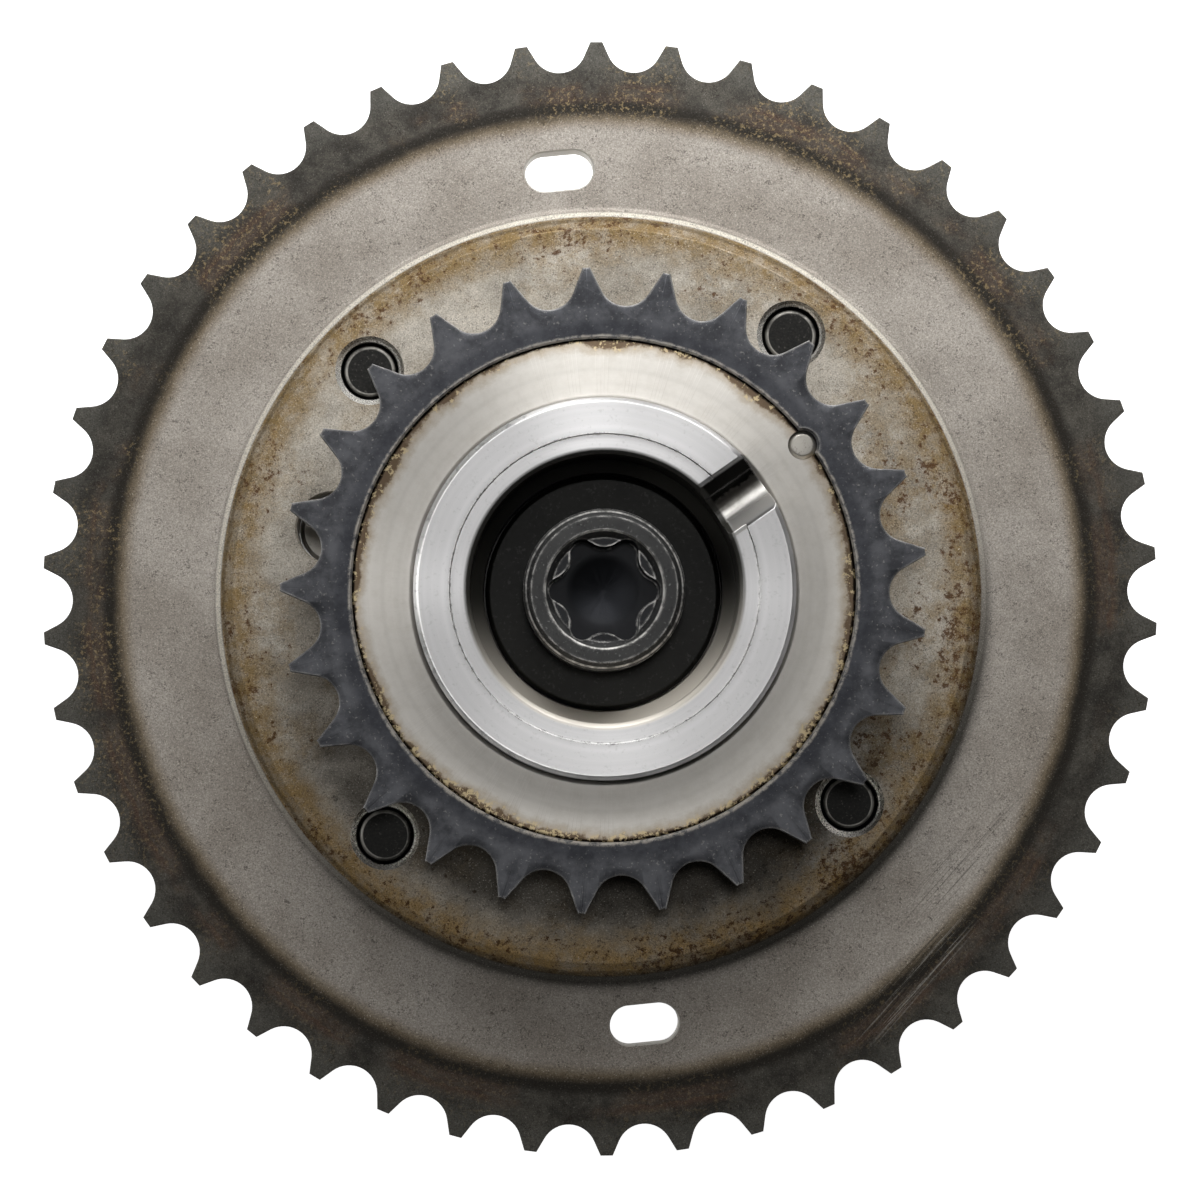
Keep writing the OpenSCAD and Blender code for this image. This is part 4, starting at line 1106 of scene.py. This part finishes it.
def with_broken_edges(name, node_name, width, material):
    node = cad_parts[node_name]
    mesh = node.data.copy()
    mesh.transform(node.matrix_world)
    if "custom_normal" in mesh.attributes:
        mesh.attributes.remove(mesh.attributes["custom_normal"])
    mesh.materials.clear()
    mesh.materials.append(material)
    edit = bmesh.new()
    edit.from_mesh(mesh)
    bmesh.ops.remove_doubles(edit, verts=edit.verts, dist=0.001 * MM)
    bmesh.ops.dissolve_limit(edit, verts=edit.verts, edges=edit.edges, angle_limit=math.radians(0.05))
    for face in edit.faces:
        face.material_index = 0
    edit.to_mesh(mesh)
    edit.free()
    piece = new_piece(name, mesh)
    bevel = piece.modifiers.new("broken edges", "BEVEL")
    bevel.width = width
    bevel.segments = 2
    bevel.limit_method = "ANGLE"
    bevel.angle_limit = math.radians(BROKEN_ANGLE)
    bevel.miter_outer = "MITER_ARC"
    keep_result(piece)
    return piece


# piece, node, width in mm, steel, body, slot
SOFTENED = [("rotor_body", "rotor", 0.12, BOSS_STEEL, "rotor", "rotor_steel"),
            ("lobed_bolt", "center_bolt", 0.1, BOLT_STEEL, "rotor", "bolt_steel")]
SOFTENED += [(f"housing_screw_{i}", f"screw_{i}", 0.08, SCREW_STEEL, "housing", "screw_steel")
             for i in range(1, 5)]
SOFTENED += [("stator_ring", "stator", 0.15, HOUSING_STEEL, "housing", "housing_steel"),
             ("back_cover", "rear_cover", 0.15, HOUSING_STEEL, "housing", "housing_steel"),
             ("pin_bush", "lock_bush", 0.12, PIN_STEEL, "housing", "pin_steel")]
for name, node_name, width, steel, body, slot in SOFTENED:
    finish_piece(with_broken_edges(name, node_name, width * MM, steel), body, node_name)

# %% [markdown]
# The timing pin is a plain turned pin, bevelled at its front end. It sits in the hole
# that hub and small sprocket share, which keeps the two wheels in step.

# %% Timing pin
PIN_R = 1.5 * MM
PIN_BEVEL = 0.4 * MM
pin_low, pin_high = heights("timing_pin")
pin = turned("key_pin", [(0, pin_low), (PIN_R, pin_low), (PIN_R, pin_high - PIN_BEVEL),
                         (PIN_R - PIN_BEVEL, pin_high), (0, pin_high)], PIN_STEEL, 64, 0.12 * MM)
place(pin, TIMING_CIRCLE_R, TIMING_PIN_ANGLE)
finish_piece(pin, "housing", "timing_pin")

# %% [markdown]
# The washer under the bolt's head is a flat ring with bevelled outer edges.

# %% Seat washer
WASHER_BORE_R = BOLT_R + 0.2 * MM
WASHER_BEVEL = 0.4 * MM
washer = turned("dark_washer", [
    (WASHER_BORE_R, WASHER_Z), (WASHER_R - WASHER_BEVEL, WASHER_Z), (WASHER_R, WASHER_Z + WASHER_BEVEL),
    (WASHER_R, WASHER_TOP_Z - WASHER_BEVEL), (WASHER_R - WASHER_BEVEL, WASHER_TOP_Z),
    (WASHER_BORE_R, WASHER_TOP_Z)], WASHER_STEEL)
finish_piece(washer, "rotor", "seat_washer")

# %% [markdown]
# The lock pin's coil spring is a wire that follows a screw line, so Geometry Nodes sweep
# a small circle along a spiral. It is squeezed against its seat when the pin draws back.

# %% Lock spring
WIRE_R = 0.3 * MM
COIL_TURNS = 7.0


def make_coil_tree():
    tree, g, given, result = new_group("coil_along_spiral", {
        "Wire": GEOMETRY, "Turns": FLOAT, "Coil Radius": FLOAT, "Wire Radius": FLOAT, "Height": FLOAT,
        "Material": MATERIAL}, {"Coil": GEOMETRY}, "GeometryNodeTree")
    line = g.node("GeometryNodeCurveSpiral", inputs={
        "Resolution": 24, "Rotations": given["Turns"], "Start Radius": given["Coil Radius"],
        "End Radius": given["Coil Radius"], "Height": given["Height"]})
    section = g.node("GeometryNodeCurvePrimitiveCircle", inputs={
        "Resolution": 10, "Radius": given["Wire Radius"]})
    wire = g.node("GeometryNodeCurveToMesh", inputs={
        "Curve": line, "Profile Curve": section, "Fill Caps": True})
    solid = g.node("GeometryNodeRealizeInstances", inputs={0: wire})
    g.put(result[0], g.node("GeometryNodeSetMaterial", inputs={
        "Geometry": solid, "Material": given["Material"]}))
    return tree


coil_low, coil_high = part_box("lock_spring")
coil_height = coil_high.z - coil_low.z
coil = new_piece("lock_coil", bpy.data.meshes.new("lock_coil"))
run_tree(coil, make_coil_tree(), Turns=COIL_TURNS, Coil_Radius=(coil_high.x - coil_low.x) / 2 - WIRE_R,
         Wire_Radius=WIRE_R, Height=coil_height - 2.2 * WIRE_R, Material=SPRING_STEEL)
place(coil, LOCK_CIRCLE_R, LOCK_ANGLE, coil_low.z + 1.1 * WIRE_R)
finish_piece(coil, "rotor", "lock_spring")
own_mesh(coil)
print("lock spring:", len(coil.data.polygons), "faces, high", round(coil_height / MM, 2), "mm")

# %% [markdown]
# Seals, leaf springs, lock pin and spring seat are closed in and simple, so they keep the
# model's own mesh. Only their material slots are filled.

# %% Materials of the nodes that keep their own mesh
NODE_STEELS = {"lock_pin": PIN_STEEL, "lock_spring_seat": PIN_STEEL}
for i in range(1, 5):
    for part in ("vane", "lobe"):
        NODE_STEELS[f"{part}_seal_{i}"] = SEAL_POLYMER
        NODE_STEELS[f"{part}_spring_{i}"] = SPRING_STEEL
for name, steel in NODE_STEELS.items():
    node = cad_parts[name]
    for slot in node.material_slots:
        slot.material = steel
print("painted", len(NODE_STEELS), "nodes")

# %% [markdown]
# ## Stage
# The phaser lies on its screw heads on a pale floor and the camera looks almost straight
# down its axis, a little from the lower left. The floor adds some of its own white for
# camera, glossy and transmission rays, so it reads as white and still shows the shadow.

# %% Floor
FLOOR_HALF = 3


def make_floor_material():
    material = bpy.data.materials.new("floor_white")
    material.use_nodes = True
    g = Graph(material.node_tree)
    shader = g.tree.nodes["Principled BSDF"].inputs
    g.put(shader["Base Color"], (0.8, 0.8, 0.8, 1))
    g.put(shader["Roughness"], 0.9)
    g.put(shader["Emission Color"], (1, 1, 1, 1))
    rays = g.node("ShaderNodeLightPath", None).outputs
    seen = g.math("MAXIMUM", rays["Is Camera Ray"], rays["Is Glossy Ray"])
    g.put(shader["Emission Strength"], g.math("MAXIMUM", seen, rays["Is Transmission Ray"]))
    return material


floor_mesh = bpy.data.meshes.new("floor")
corners = [(x * FLOOR_HALF, y * FLOOR_HALF, 0) for x, y in ((-1, -1), (1, -1), (1, 1), (-1, 1))]
floor_mesh.from_pydata(corners, [], [(0, 1, 2, 3)])
floor = new_piece("floor", floor_mesh, make_floor_material())
print("floor", 2 * FLOOR_HALF, "m wide")

# %% [markdown]
# Five small lamps light the phaser: three close together above the top of the picture,
# one at the left and a weak one straight above. Their places and powers came from a fit
# to the brightness round the rings of the photographed part.

# %% Lights
CENTRE = Vector((0, 0, WEB_Z))
# name, place in metres, width in metres, power in watts
LAMPS = [("key_light", (0.03, 0.23, 0.25), 0.16, 0.22),
         ("near_right_light", (0.09, 0.16, 0.16), 0.1, 0.18),
         ("near_left_light", (-0.02, 0.17, 0.16), 0.1, 0.21),
         ("left_light", (-0.42, 0.04, 0.42), 0.14, 0.56),
         ("over_light", (0.0, 0.06, 0.75), 0.1, 0.32)]
for name, location, width, power in LAMPS:
    light = bpy.data.lights.new(name, "AREA")
    light.shape = "DISK"
    light.size = width
    light.energy = power
    lamp = bpy.data.objects.new(name, light)
    lamp.visible_camera = False
    lamp.location = location
    lamp.rotation_euler = (CENTRE - Vector(location)).to_track_quat("-Z", "Y").to_euler()
    bpy.context.scene.collection.objects.link(lamp)
print(len(LAMPS), "lamps")


# %% [markdown]
# The surroundings are bright towards the top of the picture and dim towards its bottom.
# The flat steel mirrors them, which gives the web its slow fade from top to bottom.

# %% Surroundings
def make_world():
    world = bpy.data.worlds.new("studio")
    world.use_nodes = True
    g = Graph(world.node_tree)
    direction = g.node("ShaderNodeTexCoord", "Generated")
    height = g.measure("DOT_PRODUCT", direction, (-0.2, 0.8, 0.56))
    back = g.tree.nodes["Background"]
    g.put(back.inputs["Color"], (1, 1, 1, 1))
    g.put(back.inputs["Strength"], g.fade(height, -0.2, 1.0, 0.01, 0.05))
    return world


bpy.context.scene.world = make_world()
bpy.context.scene.view_settings.view_transform = "Standard"

# %% [markdown]
# The camera's place, aim and lens were found by laying the model's circles over those of
# the photo. A camera looks along its own minus Z, so its axes are built from the aim.

# %% Camera
AIM = CENTRE + Vector((-0.16 * MM, -0.47 * MM, 0))
CAMERA_PLACE = Vector((-9.0 * MM, -18.9 * MM, 465.8 * MM))
LENS_MM = 122.4
camera_data = bpy.data.cameras.new("camera")
camera_data.sensor_width = 36
camera_data.lens = LENS_MM
camera_data.clip_start = 0.01
camera = bpy.data.objects.new("camera", camera_data)
camera.location = CAMERA_PLACE
view_axis = (camera.location - AIM).normalized()
right = Vector((0, 1, 0)).cross(view_axis).normalized()
up = view_axis.cross(right)
camera.rotation_euler = Matrix((right, up, view_axis)).transposed().to_euler()
bpy.context.scene.collection.objects.link(camera)
bpy.context.scene.camera = camera
print("camera at", [round(v, 4) for v in camera.location])
